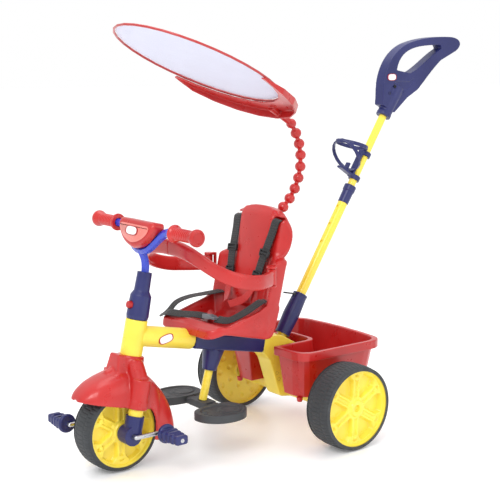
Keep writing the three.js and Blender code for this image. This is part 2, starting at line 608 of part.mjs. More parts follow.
function seat() {
  const long = SEAT_REAR - SEAT_FRONT;
  const pan = new THREE.Shape();
  pan.moveTo(-44, 6);
  pan.bezierCurveTo(-30, -3, 30, -3, 44, 6);
  pan.bezierCurveTo(80, 18, 92, 54, SEAT_PAN_HALF, 96);
  pan.lineTo(SEAT_PAN_HALF, long);
  pan.lineTo(-SEAT_PAN_HALF, long);
  pan.lineTo(-SEAT_PAN_HALF, 96);
  pan.bezierCurveTo(-92, 54, -80, 18, -44, 6);
  const base = inPan(slab(pan, 0, SEAT_PAN_T, 6));

  const wrap = outline([[-SEAT_PAN_HALF - 2, -34], [-SEAT_PAN_HALF + 32, SEAT_SHELL],
    [SEAT_PAN_HALF - 32, SEAT_SHELL], [SEAT_PAN_HALF + 2, -34], [SEAT_PAN_HALF - 8, -42],
    [74, 0], [-74, 0], [-SEAT_PAN_HALF + 8, -42]].reverse(), 9);
  const trough = inBack(slab(wrap, -34, EAR_TOP, 3));

  const head = new THREE.Shape();
  const waist = SEAT_HEAD_HALF - 20;
  head.moveTo(-waist, EAR_TOP - 20);
  head.lineTo(waist, EAR_TOP - 20);
  head.lineTo(waist, EAR_TOP + 10);
  head.bezierCurveTo(SEAT_HEAD_HALF + 12, EAR_TOP + 44, SEAT_HEAD_HALF + 8, BACK_LEN, 0, BACK_LEN);
  head.bezierCurveTo(-SEAT_HEAD_HALF - 8, BACK_LEN, -SEAT_HEAD_HALF - 12, EAR_TOP + 44, -waist, EAR_TOP + 10);
  const headrest = inBack(frontSlab(head, 0, SEAT_SHELL, 6));

  const wing = outline([[40, 0], [long, 0], [long + 6, 80], [long - 40, 74], [long - 54, 44], [74, 30]], 12);
  const wingAt = (x0, x1) => inPan(sideSlab(wing, x0, x1, 3));
  const wings = [wingAt(-SEAT_PAN_HALF, WING_T - SEAT_PAN_HALF),
    wingAt(SEAT_PAN_HALF - WING_T, SEAT_PAN_HALF)];
  const trimmedWings = common(join(...wings), inPan(slab(pan, -10, 140, 6)));

  const slots = [-1, 1].map((side) => inBack(block(side * SLOT_X - 12, side * SLOT_X + 12, -8,
    SEAT_SHELL + 8, SLOT_Z - 5, SLOT_Z + 5)));
  const railStart = (TUBE_END - SEAT_FRONT) / cos(TUBE_DROP) + 10;
  const rail = inPan(block(-18, 18, railStart, long + 12, -RAIL_DROP, 2));
  const hingeRoom = [-1, 1].map((side) => ringHingeRoom(side));
  const crotchSlot = inPan(block(-14, 14, 70, 78, -5, 30));
  const shell = join(base, trough, headrest, trimmedWings, rail);
  return piece('seat', cut(shell, ...slots, ...hingeRoom, crotchSlot), plastic(RED, 0.35));
}


// A flat strap through points given as [x, y, z], its width along X.
function strap(name, points, width, color = WEBBING) {
  const half = points.map(([x, y, z]) => new THREE.Vector3(x, y, z));
  const sides = [];
  for (let i = 0; i < half.length; i += 1) {
    const ahead = half[Math.min(i + 1, half.length - 1)].clone().sub(half[Math.max(i - 1, 0)]).normalize();
    const across = new THREE.Vector3(1, 0, 0);
    across.addScaledVector(ahead, -across.dot(ahead)).normalize();
    const up = new THREE.Vector3().crossVectors(across, ahead);
    const at = (u, v) => half[i].clone().addScaledVector(across, u).addScaledVector(up, v);
    sides.push([at(-width / 2, 0), at(width / 2, 0), at(width / 2, STRAP_T), at(-width / 2, STRAP_T)]);
  }
  return piece(name, ringLoft(sides), plastic(color, 0.9));
}

// A closed skin through a row of rings with equal numbers of points.
function ringLoft(rings) {
  const position = [];
  const index = [];
  const count = rings[0].length;
  rings.forEach((ring) => ring.forEach((p) => position.push(p.x, p.y, p.z)));
  for (let r = 0; r + 1 < rings.length; r += 1) {
    for (let i = 0; i < count; i += 1) {
      const a = r * count + i;
      const b = r * count + (i + 1) % count;
      index.push(a, b, b + count, a, b + count, a + count);
    }
  }
  const last = (rings.length - 1) * count;
  for (let i = 1; i + 1 < count; i += 1) {
    index.push(0, i + 1, i, last, last + i, last + i + 1);
  }
  const geometry = new THREE.BufferGeometry();
  geometry.setAttribute('position', new THREE.Float32BufferAttribute(position, 3));
  geometry.setIndex(index);
  return facingOut(geometry);
}

// A point on the front face of the seat back, in the trike's own frame.
function onBack(x, up, off = 0.8) {
  const v = new THREE.Vector3(x, -off - STRAP_T, up).applyAxisAngle(ACROSS, -SEAT_RECLINE * DEG);
  return [v.x, v.y + SEAT_REAR - 10, v.z + BACK_FOOT_Z];
}
// A point above the top face of the seat pan.
function onPan(x, along, off = 0.8) {
  const v = new THREE.Vector3(x, along, SEAT_PAN_T + off).applyAxisAngle(ACROSS, -TUBE_DROP * DEG);
  return [v.x, v.y + SEAT_FRONT, v.z + PAN_Z];
}

function harness() {
  const parts = [];
  for (const [name, side] of [['left', 1], ['right', -1]]) {
    const shoulder = [[SLOT_X, SLOT_Z - 8, 1], [63, 150, 1.5], [54, 110, 1.5], [47, 70, 1.5], [30, 40, 2]]
      .map(([x, up, off]) => onBack(side * x, up, off));
    parts.push(strap(`shoulder_strap_${name}`, shoulder, STRAP_W));
    const waist = [[72, 132, 3], [65, 106, 4.5], [48, 84, 5], [26, 72, 6]]
      .map(([x, along, off]) => onPan(side * x, along, off));
    parts.push(strap(`waist_strap_${name}`, waist, STRAP_W));
  }
  const buckle = outline([[-22, 56], [22, 56], [22, 84], [-22, 84]], 6);
  const buckleBody = inPan(slab(buckle, SEAT_PAN_T + 11, SEAT_PAN_T + 21, 3));
  parts.push(piece('harness_buckle', buckleBody, plastic(0x6a6e72)));
  const crotch = [[86, 1], [92, 3], [110, 2], [135, 1]].map(([along, off]) => onPan(0, along, off));
  parts.push(strap('crotch_strap', crotch, STRAP_W, 0xb02a24));
  return parts;
}

// ---------------------------------------------------------------- safety ring
// Space on the seat's ear for the hinge bracket and the arm's swing; side is +1 or -1.
function ringHingeRoom(side) {
  const [a, b] = [side * (RING_HINGE_X - RING_PLATE - GAP), side * (RING_HINGE_X + 20)];
  return block(Math.min(a, b), Math.max(a, b), RING_HINGE_Y - 50, RING_SPINE_Y + GAP,
    RING_Z - RING_H - 8 - GAP, RING_Z + 6 + GAP);
}

// One swinging arm of the safety ring.
function ringArm(name, side) {
  const reach = RING_HINGE_X + 42;
  const path = [[RING_HINGE_X + 13, RING_HINGE_Y - 4, RING_Z - 2], [reach - 3, RING_HINGE_Y - 55, RING_Z - 2],
    [reach, RING_HINGE_Y - 115, RING_Z + 8], [reach - 20, RING_FRONT + 30, RING_Z + 28],
    [reach - 60, RING_FRONT + 5, RING_FRONT_Z - 16], [50, RING_FRONT, RING_FRONT_Z - 2],
    [0.5, RING_FRONT, RING_FRONT_Z]];
  const curve = new THREE.CatmullRomCurve3(path.map((p) => new THREE.Vector3(...p)), false, 'centripetal');
  const round = 3;
  const section = [[-RING_T, -round], [round - RING_T, 0], [-round, 0], [0, -round],
    [0, round - RING_H], [-round, -RING_H], [round - RING_T, -RING_H], [-RING_T, round - RING_H]];
  const rings = [];
  const steps = 14;
  for (let i = 0; i <= steps; i += 1) {
    const p = curve.getPointAt(i / steps);
    const t = curve.getTangentAt(i / steps);
    const out = i === steps ? new THREE.Vector3(0, -1, 0) : new THREE.Vector3(-t.y, t.x, 0).normalize();
    rings.push(section.map(([u, v]) => p.clone().addScaledVector(out, u).add(new THREE.Vector3(0, 0, v))));
  }
  const low = RING_Z - RING_H;
  const boss = bar([RING_HINGE_X, RING_HINGE_Y, low - 2], [RING_HINGE_X, RING_HINGE_Y, RING_Z], 10, 20);
  const neck = block(RING_HINGE_X, RING_HINGE_X + 14, RING_HINGE_Y - 12, RING_HINGE_Y, low, RING_Z - 4);
  const pinBore = bar([RING_HINGE_X, RING_HINGE_Y, low - 30], [RING_HINGE_X, RING_HINGE_Y, RING_Z + 10],
    RING_PIN_R + GAP, 16);
  const geometry = toGeometry(cut(join(ringLoft(rings), boss, neck), pinBore));
  return piece(name, side < 0 ? mirrored(geometry) : geometry, plastic(RED));
}

function mirrored(geometry) {
  const flipped = geometry.clone().scale(-1, 1, 1);
  flipped.setIndex(Array.from(geometry.index.array).reverse());
  flipped.computeVertexNormals();
  return flipped;
}

// The hinge bracket on the seat's ear: two plates and a pin, one piece per side.
function ringHinge(name, side) {
  const x = side * RING_HINGE_X;
  const inner = x - side * RING_PLATE;
  const pin = bar([x, RING_HINGE_Y, RING_Z - RING_H - 7], [x, RING_HINGE_Y, RING_Z + 5], RING_PIN_R, 16);
  const plate = (z0, z1) => join(bar([x, RING_HINGE_Y, z0], [x, RING_HINGE_Y, z1], 10, 20),
    block(Math.min(x, inner), Math.max(x, inner), RING_HINGE_Y - 6, RING_SPINE_Y, z0, z1));
  const low = plate(RING_Z - RING_H - 8, RING_Z - RING_H - 2.4);
  const high = plate(RING_Z + 0.4, RING_Z + 6);
  const spine = block(Math.min(inner, x - side * 4), Math.max(inner, x - side * 4),
    RING_SPINE_Y - 5, RING_SPINE_Y, RING_Z - RING_H - 8, RING_Z + 6);
  return piece(name, join(pin, low, high, spine), plastic(RED));
}

// ---------------------------------------------------------------- push bar
function lowerPole() {
  const top = COLLAR_LOW + COLLAR_LEN - 6;
  const tube = bar([0, 0, -POLE_SOCKET], [0, 0, top], LOWER_POLE_R, 20);
  const bore = bar([0, 0, 40], [0, 0, top + 6], UPPER_POLE_R + GAP, 20);
  const holes = [0, 1, 2].map((i) => {
    const z = COLLAR_LOW - 14 - 48 * i;
    return bar([0, -20, z], [0, 0, z], 3.5, 12);
  });
  return piece('lower_pole', cut(tube, bore, ...holes), metal(YELLOW, 0.35));
}

function poleSleeve() {
  const low = 8;
  const body = join(bar([0, 0, low], [0, 0, 58], SLEEVE_R - 2.5, 20, SLEEVE_R),
    bar([0, 0, 57], [0, 0, SLEEVE_LEN], SLEEVE_R, 20, SLEEVE_R - 3));
  const bore = bar([0, 0, low - 1], [0, 0, SLEEVE_LEN + 1], LOWER_POLE_R + GAP, 20);
  const leverRoom = block(-LEVER_HALF - GAP, LEVER_HALF + GAP, -SLEEVE_R - 10, -LOWER_POLE_R - 1,
    SLEEVE_LEN - 18, SLEEVE_LEN + 1);
  return piece('pole_sleeve', cut(body, bore, leverRoom), plastic(NAVY));
}


function releaseLever() {
  const arm = bar([0, LEVER_Y, LEVER_Z], [0, LEVER_Y - 33, LEVER_Z - 12], 2, 12);
  const hub = bar([-LEVER_HALF + GAP, LEVER_Y, LEVER_Z], [LEVER_HALF - GAP, LEVER_Y, LEVER_Z], 3, 12);
  return piece('pole_release_lever', join(arm, hub), plastic(0x202426));
}

function poleCollar() {
  const low = COLLAR_LOW;
  const body = join(bar([0, 0, low], [0, 0, low + 34], COLLAR_R - 0.6, 24, COLLAR_R),
    bar([0, 0, low + 33], [0, 0, low + COLLAR_LEN], COLLAR_R + 1.4, 24));
  const pole = bar([0, 0, low - 1], [0, 0, low + COLLAR_LEN - 6 + GAP], LOWER_POLE_R + GAP, 20);
  const upper = bar([0, 0, low], [0, 0, low + COLLAR_LEN + 1], UPPER_POLE_R + GAP, 20);
  return piece('pole_collar', cut(body, pole, upper), plastic(NAVY));
}

function upperPole() {
  const tube = bar([0, 0, UPPER_POLE_LOW], [0, 0, UPPER_POLE_TOP], UPPER_POLE_R, 20);
  const bore = bar([0, 0, UPPER_POLE_LOW - 1], [0, 0, UPPER_POLE_TOP + 1], UPPER_POLE_R - UPPER_WALL, 16);
  return piece('upper_pole', cut(tube, bore), metal(YELLOW, 0.35));
}

// The push handle, drawn in the vertical plane of the trike, then cut for the pole.
function pushHandle() {
  const shape = new THREE.Shape();
  shape.moveTo(769, 750);
  shape.lineTo(773, 812);
  shape.bezierCurveTo(780, 862, 812, 893, 852, 909);
  shape.bezierCurveTo(900, 925, 960, 929, 1008, 928);
  shape.bezierCurveTo(1052, 927, 1058, 908, 1030, 895);
  shape.lineTo(976, 872);
  shape.bezierCurveTo(940, 846, 912, 815, 893, 797);
  shape.lineTo(857, 778);
  shape.lineTo(802, 735);
  shape.closePath();
  const opening = new THREE.Path();
  opening.moveTo(816, 846);
  opening.lineTo(866, 838);
  opening.bezierCurveTo(905, 852, 935, 880, 975, 899);
  opening.lineTo(970, 907);
  opening.bezierCurveTo(900, 904, 826, 906, 816, 846);
  shape.holes.push(opening);
  const body = sideSlab(shape, -HANDLE_W / 2, HANDLE_W / 2, 8);
  const inFrame = body.translate(0, -HANDLE_FROM[0], -HANDLE_FROM[1]).rotateX(POLE_LEAN * DEG);
  const bore = bar([0, 0, UPPER_SHOWS_TO - 60], [0, 0, UPPER_POLE_TOP + GAP], UPPER_POLE_R + GAP, 20);
  return piece('push_handle', cut(inFrame, bore), plastic(NAVY));
}

function cupHolder() {
  const lean = POLE_LEAN - 18;
  const cupY = -CUP_R - CUP_WALL - UPPER_POLE_R - 2;
  const hoop = (radius, height, tilt) => {
    const ring = turned([[radius, 0], [radius + CUP_WALL, 0], [radius + CUP_WALL, height], [radius, height],
      [radius, 0]], 20);
    return ring.translate(0, 0, -height / 2).rotateX(tilt * DEG);
  };
  const top = hoop(CUP_R, 9, lean).translate(0, cupY, CUP_HIGH - 2);
  const low = hoop(CUP_R + 3, 9, lean - 48).translate(0, cupY - 2, CUP_LOW + 34);
  const clips = [CUP_LOW, CUP_HIGH].map((z) => bar([0, 0, z - 6], [0, 0, z + 6], UPPER_POLE_R + 4.6, 20));
  const spine = block(-8, 8, -UPPER_POLE_R - 8, -UPPER_POLE_R - 2, CUP_LOW - 4, CUP_HIGH + 4);
  const foot = block(-9, 9, -58, -UPPER_POLE_R - 4, CUP_LOW - 2, CUP_LOW + 3);
  const stalk = block(-6, 6, -40, -34, CUP_LOW, CUP_LOW + 22);
  const bore = bar([0, 0, CUP_LOW - 20], [0, 0, CUP_HIGH + 20], UPPER_POLE_R + GAP, 20);
  return piece('cup_holder', cut(join(top, low, ...clips, spine, foot, stalk), bore), plastic(NAVY));
}

// ---------------------------------------------------------------- bin
function binPlan(inset, notchGrow) {
  const shape = new THREE.Shape();
  const half = BIN_HALF - inset;
  const front = BIN_FRONT + inset;
  const back = BIN_BACK - inset;
  const r = 38;
  const nHalf = NOTCH_HALF + notchGrow;
  const nBack = BIN_FRONT + NOTCH_DEPTH + notchGrow;
  shape.moveTo(nHalf, front);
  shape.lineTo(half - r, front);
  shape.quadraticCurveTo(half, front, half, front + r);
  shape.lineTo(half, back - r - 16);
  shape.quadraticCurveTo(half, back - 12, half - r, back - 8);
  shape.quadraticCurveTo(0, back + 8, -half + r, back - 8);
  shape.quadraticCurveTo(-half, back - 12, -half, back - r - 16);
  shape.lineTo(-half, front + r);
  shape.quadraticCurveTo(-half, front, -half + r, front);
  shape.lineTo(-nHalf, front);
  shape.lineTo(-nHalf, nBack - 30);
  shape.quadraticCurveTo(-nHalf, nBack, -nHalf + 30, nBack);
  shape.lineTo(nHalf - 30, nBack);
  shape.quadraticCurveTo(nHalf, nBack, nHalf, nBack - 30);
  return shape;
}

// A tapered block between two outlines with the same number of points.
function taper(low, high, z0, z1, steps) {
  const a = low.getPoints(steps);
  const b = high.getPoints(steps);
  const rings = [[a, z0], [b, z1]];
  const position = [];
  rings.forEach(([ring, z]) => ring.forEach((p) => position.push(p.x, p.y, z)));
  const index = [];
  const count = a.length;
  for (let i = 0; i < count; i += 1) {
    const j = (i + 1) % count;
    index.push(i, j, j + count, i, j + count, i + count);
  }
  const faces = THREE.ShapeUtils.triangulateShape(a, []);
  faces.forEach(([i, j, k]) => index.push(k, j, i, i + count, j + count, k + count));
  const geometry = new THREE.BufferGeometry();
  geometry.setAttribute('position', new THREE.Float32BufferAttribute(position, 3));
  geometry.setIndex(index);
  return geometry;
}

function bin() {
  const lip = 7;
  const skinAt = (wall) => [binPlan(lip + BIN_TAPER + wall, 9 + wall), binPlan(lip + wall, 3 + wall)];
  const skin = taper(...skinAt(0), BIN_BOTTOM, BIN_TOP - 2, 4);
  const inside = taper(...skinAt(BIN_WALL), BIN_BOTTOM + BIN_WALL, BIN_TOP + 1, 4);
  const rimBand = slab(binPlan(0, -2), BIN_TOP - 20, BIN_TOP, 4);
  const end = BIN_HALF + 20;
  const across = (radius) => bar([-end, WHEELBASE, REAR_R], [end, WHEELBASE, REAR_R], radius, 28);
  const channel = across(HOUSING_R + GAP);
  const room = cut(inside, across(HOUSING_R + GAP + BIN_WALL));
  return piece('bin', cut(join(skin, rimBand), room, channel), plastic(RED, 0.38));
}

// ---------------------------------------------------------------- footrests
const BASE_Y = postPoint(POST_LEN)[1];

function footrestPost() {
  const post = bar(postPoint(-8), postPoint(POST_LEN - 4), POST_R, 20);
  const half = PAD_HINGE_X - 8;
  const cross = block(-half, half, BASE_Y - 17, BASE_Y + 17, PAD_Z - 7, PAD_Z + 9);
  const ears = [];
  for (const side of [-1, 1]) {
    const [inner, outer] = [side * (half - 4), side * PAD_HINGE_X];
    for (const end of [-1, 1]) {
      const y = BASE_Y + end * 13;
      ears.push(bar([outer, y - 4, PAD_Z], [outer, y + 4, PAD_Z], PAD_EAR_R, 16));
      ears.push(block(Math.min(inner, outer), Math.max(inner, outer), y - 4, y + 4, PAD_Z - 6, PAD_Z + 6));
    }
    ears.push(bar([outer, BASE_Y - 14, PAD_Z], [outer, BASE_Y + 14, PAD_Z], PAD_PIN_R, 12));
  }
  const postBore = bar(postPoint(60), postPoint(POST_LEN + 20), POST_R + GAP, 20);
  return [piece('footrest_post', post, metal(YELLOW, 0.35)),
    piece('footrest_bracket', cut(join(cross, ...ears), postBore), plastic(0x2a2c2e, 0.6))];
}

function footrestPad(name, side) {
  const pad = new THREE.Shape();
  const [y0, y1] = [BASE_Y - 72, BASE_Y + 48];
  pad.moveTo(46, y1 - 30);
  pad.bezierCurveTo(42, BASE_Y - 20, 46, y0 + 4, 74, y0);
  pad.bezierCurveTo(106, y0 - 2, 132, y0 + 24, 134, BASE_Y - 14);
  pad.bezierCurveTo(136, BASE_Y + 20, 118, y1, 88, y1);
  pad.bezierCurveTo(66, y1, 50, y1 - 6, 46, y1 - 30);
  const plate = slab(pad, PAD_Z - PAD_T / 2, PAD_Z + PAD_T / 2, 7);
  const along = (half, r, sides) =>
    bar([PAD_HINGE_X, BASE_Y - half, PAD_Z], [PAD_HINGE_X, BASE_Y + half, PAD_Z], r, sides);
  const tongue = block(PAD_HINGE_X, 56, BASE_Y - PAD_BARREL, BASE_Y + PAD_BARREL, PAD_Z - 6, PAD_Z + 6);
  const geometry = toGeometry(cut(join(plate, along(PAD_BARREL, PAD_EAR_R, 16), tongue),
    along(30, PAD_PIN_R + GAP, 12)));
  return piece(name, side > 0 ? geometry : mirrored(geometry), plastic(0x2a2c2e, 0.6));
}

// ---------------------------------------------------------------- canopy
const beadAngle = (i) => NECK_START + NECK_STEP * i;
const neckPoint = (degrees) => [0, NECK_Y + NECK_ARC_R * cos(degrees), NECK_Z + NECK_ARC_R * sin(degrees)];

// One bead of the neck: its socket is round its own origin, its ball at the next bead's.
function bead(i) {
  const pitch = NECK_ARC_R * NECK_STEP * DEG;
  const profile = [];
  const arc = (r, z, from, to, count) => {
    for (let k = 0; k <= count; k += 1) {
      const a = (from + (to - from) * k / count) * DEG;
      profile.push([Math.max(0, r * Math.sin(a)), z - r * Math.cos(a)]);
    }
  };
  arc(BALL_R, pitch, 180, 38, 2);
  profile.push([BEAD_NECK_R, BEAD_R - 0.5]);
  arc(BEAD_R, 0, 160, 52, 3);
  arc(BALL_R + SOCKET_GAP, 0, 50, 180, 3);
  const mesh = piece(`neck_bead_${i + 1}`, turned(profile, 10), plastic(RED));
  const [x, y, z] = neckPoint(beadAngle(i));
  mesh.position.set(x, y, z);
  mesh.rotation.x = (beadAngle(i) + NECK_STEP / 2) * DEG;
  return mesh;
}

// The mount on the back of the seat: a plate and an arm that ends in the first ball.
function neckMount() {
  const [, y, z] = neckPoint(beadAngle(0));
  const lean = beadAngle(0) - NECK_STEP / 2;
  const along = new THREE.Vector3(0, -sin(lean), cos(lean));
  const below = (distance) => new THREE.Vector3(0, y, z).addScaledVector(along, -distance).toArray();
  const ball = new THREE.SphereGeometry(BALL_R, 10, 6).translate(0, y, z);
  const stem = bar(below(34), [0, y, z], BEAD_NECK_R, 10);
  const shoulder = bar(below(60), below(15), 10, 16, 8);
  const plate = inBack(frontSlab(outline([[-26, BACK_LEN - 74], [26, BACK_LEN - 74], [20, BACK_LEN - 26],
    [-20, BACK_LEN - 26]], 8), SEAT_SHELL + GAP, SEAT_SHELL + 7, 3));
  const seatRoom = inBack(block(-60, 60, -30, SEAT_SHELL + GAP, 0, BACK_LEN + 20));
  return piece('neck_mount', cut(join(ball, stem, shoulder, plate), seatRoom), plastic(RED));
}

function canopyFrame() {
  const frame = new THREE.Group();
  frame.position.set(0, CANOPY_Y, CANOPY_Z);
  frame.rotation.x = -CANOPY_TILT * DEG;
  return frame;
}

// A ring section around the canopy's ellipse; angle 0 is the rear.
function aroundCanopy(section, from, to, steps) {
  const rings = [];
  for (let i = 0; i <= steps; i += 1) {
    const a = (from + (to - from) * i / steps) * DEG;
    const p = new THREE.Vector3(CANOPY_HALF * Math.sin(a), CANOPY_LONG * Math.cos(a), 0);
    const out = new THREE.Vector3(CANOPY_LONG * Math.sin(a), CANOPY_HALF * Math.cos(a), 0).normalize();
    rings.push(section(from + (to - from) * i / steps)
      .map(([u, v]) => p.clone().addScaledVector(out, u).add(new THREE.Vector3(0, 0, v))));
  }
  return ringLoft(rings);
}


function canopyBracket() {
  const fade = (angle) => Math.max(0, cos(angle * 90 / BRACKET_ARC));
  const bulge = (angle) => HOOP_R + 4 + BRACKET_OUT * fade(angle) ** 0.7;
  const drop = (angle) => -HOOP_R - 5 - (BRACKET_H - 5) * fade(angle) ** 0.5;
  const roof = -HOOP_R - 1;
  const around = (section) => aroundCanopy(section, -BRACKET_ARC, BRACKET_ARC, 10)
    .rotateX(-CANOPY_TILT * DEG).translate(0, CANOPY_Y, CANOPY_Z);
  const plate = around((a) => [[-4, roof - 3], [bulge(a), roof - 3], [bulge(a), roof], [-4, roof]]);
  const wall = around((a) => [[bulge(a) - 3, drop(a)], [bulge(a), drop(a)], [bulge(a), roof - 1],
    [bulge(a) - 3, roof - 1]]);
  const end = beadAngle(BEADS);
  const [, y, z] = neckPoint(end);
  const below = new THREE.Vector3(0, y, z).addScaledVector(new THREE.Vector3(0, -sin(end), cos(end)), -16);
  const cup = new THREE.SphereGeometry(BEAD_R, 10, 6).translate(0, y, z);
  const cupRoom = new THREE.SphereGeometry(BALL_R + SOCKET_GAP, 10, 6).translate(0, y, z);
  const mouth = bar([0, y, z], below.toArray(), 5.2, 12, 9.4);
  const root = new THREE.Vector3(0, CANOPY_LONG + BRACKET_OUT / 2, roof - 2)
    .applyAxisAngle(ACROSS, -CANOPY_TILT * DEG)
    .add(new THREE.Vector3(0, CANOPY_Y, CANOPY_Z));
  const arm = bar([0, y, z], root.toArray(), 7, 12, 11);
  return piece('canopy_bracket', cut(join(plate, wall, cup, arm), cupRoom, mouth), plastic(RED));
}

function canopyCover() {
  const hoop = new THREE.TorusGeometry(CANOPY_LONG, HOOP_R, 6, 32).scale(CANOPY_HALF / CANOPY_LONG, 1, 1);
  const inset = HOOP_R + 1.2;
  const fabric = slab(ellipse(CANOPY_HALF - inset, CANOPY_LONG - inset), -FABRIC_T / 2, FABRIC_T / 2, 16);
  const frame = canopyFrame();
  frame.add(piece('canopy_hoop', hoop, metal(0x9a2620, 0.4)));
  frame.add(piece('canopy_fabric', fabric, plastic(FABRIC, 0.8)));
  return frame;
}

// ---------------------------------------------------------------- assembly
const trike = new THREE.Group();

trike.add(frontFrame(), centreFrame(), rearFrame(), rearAxle());
trike.add(axleBush('axle_bush_left', 1), axleBush('axle_bush_right', -1));
for (const [name, side] of [['left', 1], ['right', -1]]) {
  const wheel = wheelAt(side * TRACK / 2, WHEELBASE, REAR_R,
    tyre(`rear_tyre_${name}`, REAR_R, REAR_HALF, REAR_RIM_R),
    rim(`rear_wheel_${name}`, REAR_RIM_R, REAR_HALF - 1, AXLE_R + GAP));
  if (side < 0) wheel.rotation.z = Math.PI;
  trike.add(wheel);
}

const steering = steeringFrame();
steering.add(fork(), forkEnd('fork_end_left', 1), forkEnd('fork_end_right', -1), frontFender());

const level = new THREE.Group();
level.rotation.x = HEAD_TILT * DEG;
level.add(wheelAt(0, 0, 0, tyre('front_tyre', FRONT_R, FRONT_HALF, FRONT_RIM_R),
  rim('front_wheel', FRONT_RIM_R, FRONT_HALF - 1, AXLE_R + GAP)));
const pedalLeft = pedal('pedal_left');
pedalLeft.position.set(0, CRANK_LEN, 0);
const pedalRight = pedal('pedal_right');
pedalRight.position.set(0, -CRANK_LEN, 0);
pedalRight.rotation.z = Math.PI;
level.add(crank(), pedalLeft, pedalRight);
steering.add(level);
steering.add(steeringCollar(), steeringButton(), handlebar(), grip('grip_left', 1), grip('grip_right', -1),
  consoleShield());
trike.add(steering);

trike.add(seat(), ...harness());
trike.add(ringArm('ring_arm_left', 1), ringArm('ring_arm_right', -1));
trike.add(ringHinge('ring_hinge_left', 1), ringHinge('ring_hinge_right', -1));

const pushBar = poleFrame();
pushBar.add(lowerPole(), poleSleeve(), releaseLever(), poleCollar(), upperPole(), pushHandle(), cupHolder());
trike.add(pushBar);

trike.add(bin(), ...footrestPost(), footrestPad('footrest_left', 1), footrestPad('footrest_right', -1));

trike.add(neckMount());
for (let i = 0; i < BEADS; i += 1) trike.add(bead(i));
trike.add(canopyBracket(), canopyCover());

trike.updateMatrixWorld(true);
const extent = new THREE.Box3().setFromObject(trike, true);
trike.position.set(-(extent.min.x + extent.max.x) / 2, -(extent.min.y + extent.max.y) / 2, -extent.min.z);

export default trike;
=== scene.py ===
import math

import bmesh
import bpy
import numpy as np
from mathutils import Matrix, Vector


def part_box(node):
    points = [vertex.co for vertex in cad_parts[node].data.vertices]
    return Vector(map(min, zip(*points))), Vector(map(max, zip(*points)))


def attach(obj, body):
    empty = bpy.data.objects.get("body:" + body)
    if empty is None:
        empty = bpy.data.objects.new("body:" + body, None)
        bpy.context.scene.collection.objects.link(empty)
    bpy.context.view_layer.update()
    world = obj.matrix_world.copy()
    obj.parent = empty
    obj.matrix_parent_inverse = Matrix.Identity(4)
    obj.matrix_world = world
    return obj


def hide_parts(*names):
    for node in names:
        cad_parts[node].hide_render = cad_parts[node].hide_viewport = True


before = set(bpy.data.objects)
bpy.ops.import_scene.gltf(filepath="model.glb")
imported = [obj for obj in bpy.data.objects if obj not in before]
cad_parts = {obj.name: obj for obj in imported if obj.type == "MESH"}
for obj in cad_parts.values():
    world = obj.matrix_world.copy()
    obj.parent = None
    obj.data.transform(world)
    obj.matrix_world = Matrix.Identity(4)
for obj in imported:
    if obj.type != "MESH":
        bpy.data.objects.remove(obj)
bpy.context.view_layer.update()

# ------------------------------------------------------------------ places
# Shapes are drawn in millimetres in the frames below, and become metres in the row frame.
MM = 0.001
WHEELBASE = 485
FRONT_R, FRONT_HALF, FRONT_RIM_R = 89.5, 33.5, 78.5
REAR_R, REAR_HALF, REAR_RIM_R = 98.3, 35.5, 88.8
TRACK = 418
HEAD_TILT = 12.5
FORK_Y = 6               # steering axis, behind the front axle
LEG_X = 55
TUBE_R = 23.3
TUBE_DROP = 11.5
TUBE_FRONT_Y, TUBE_FRONT_Z = 62, 284.5
POLE_Y, POLE_Z, POLE_LEAN = 460, 222, 32.5
CRANK_LEN = 66
BAR_Y, BAR_Z, BAR_DIP_Z, BAR_R = -12, 436, 387, 9.5
GRIP_END = 189
SEAT_FRONT, SEAT_REAR = 182, 350
BACK_FOOT_Z, RECLINE = 300, 13
BACK_TOP_Z = 544
RING_H = 34
CANOPY_Y, CANOPY_Z, CANOPY_TILT = 226, 861, 23.6
CANOPY_HALF, CANOPY_LONG = 165, 204
NECK_Y, NECK_Z, NECK_R, NECK_START, NECK_STEP = 381, 640, 137, -52, 11.3
PAD_Z, PAD_MID_X, PAD_MID_Y = 102, 90, 229
HOOD_WALL, HOOD_VOXEL, SEAT_VOXEL = 3.4, 1.7, 1.7
SQUARE = 0.72                      # how square the fender's arch is: 1 is round
HANDLE_HALF = 14.6
STRAP_THICK = 1.9
FLAT = math.cos(math.pi / 24)      # a CAD tyre's flats stand in from its round by this share

rear_axle_low, rear_axle_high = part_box("rear_axle")
rear_axle = (rear_axle_low + rear_axle_high) / 2
ORIGIN = Vector((0, rear_axle.y - WHEELBASE * MM, rear_axle.z - REAR_R * MM))


def placed(name, data):
    """A new object in the scene."""
    obj = bpy.data.objects.new(name, data)
    bpy.context.scene.collection.objects.link(obj)
    return obj


def frame_at(y, z, lean=0.0, x=0.0):
    """A local frame in millimetres, leaning back about X by that many degrees."""
    place = Matrix.Translation(ORIGIN + Vector((x, y, z)) * MM)
    return place @ Matrix.Rotation(-math.radians(lean), 4, "X") @ Matrix.Scale(MM, 4)


def tube_z(y):
    """Height of the main tube's centre line."""
    return TUBE_FRONT_Z - (y - TUBE_FRONT_Y) * math.tan(math.radians(TUBE_DROP))


PAN_FOOT_Z = tube_z(SEAT_FRONT) + TUBE_R / math.cos(math.radians(TUBE_DROP)) + 0.3
TRIKE = frame_at(0, 0)
STEER = frame_at(0, FRONT_R, HEAD_TILT)
LEVEL = frame_at(0, FRONT_R)
POLE = frame_at(POLE_Y, POLE_Z, POLE_LEAN)
PAN = frame_at(SEAT_FRONT, PAN_FOOT_Z, TUBE_DROP)
BACK = frame_at(SEAT_REAR - 10, BACK_FOOT_Z, RECLINE)
CANOPY = frame_at(CANOPY_Y, CANOPY_Z, CANOPY_TILT)
BACK_LEN = (BACK_TOP_Z - BACK_FOOT_Z) / math.cos(math.radians(RECLINE))

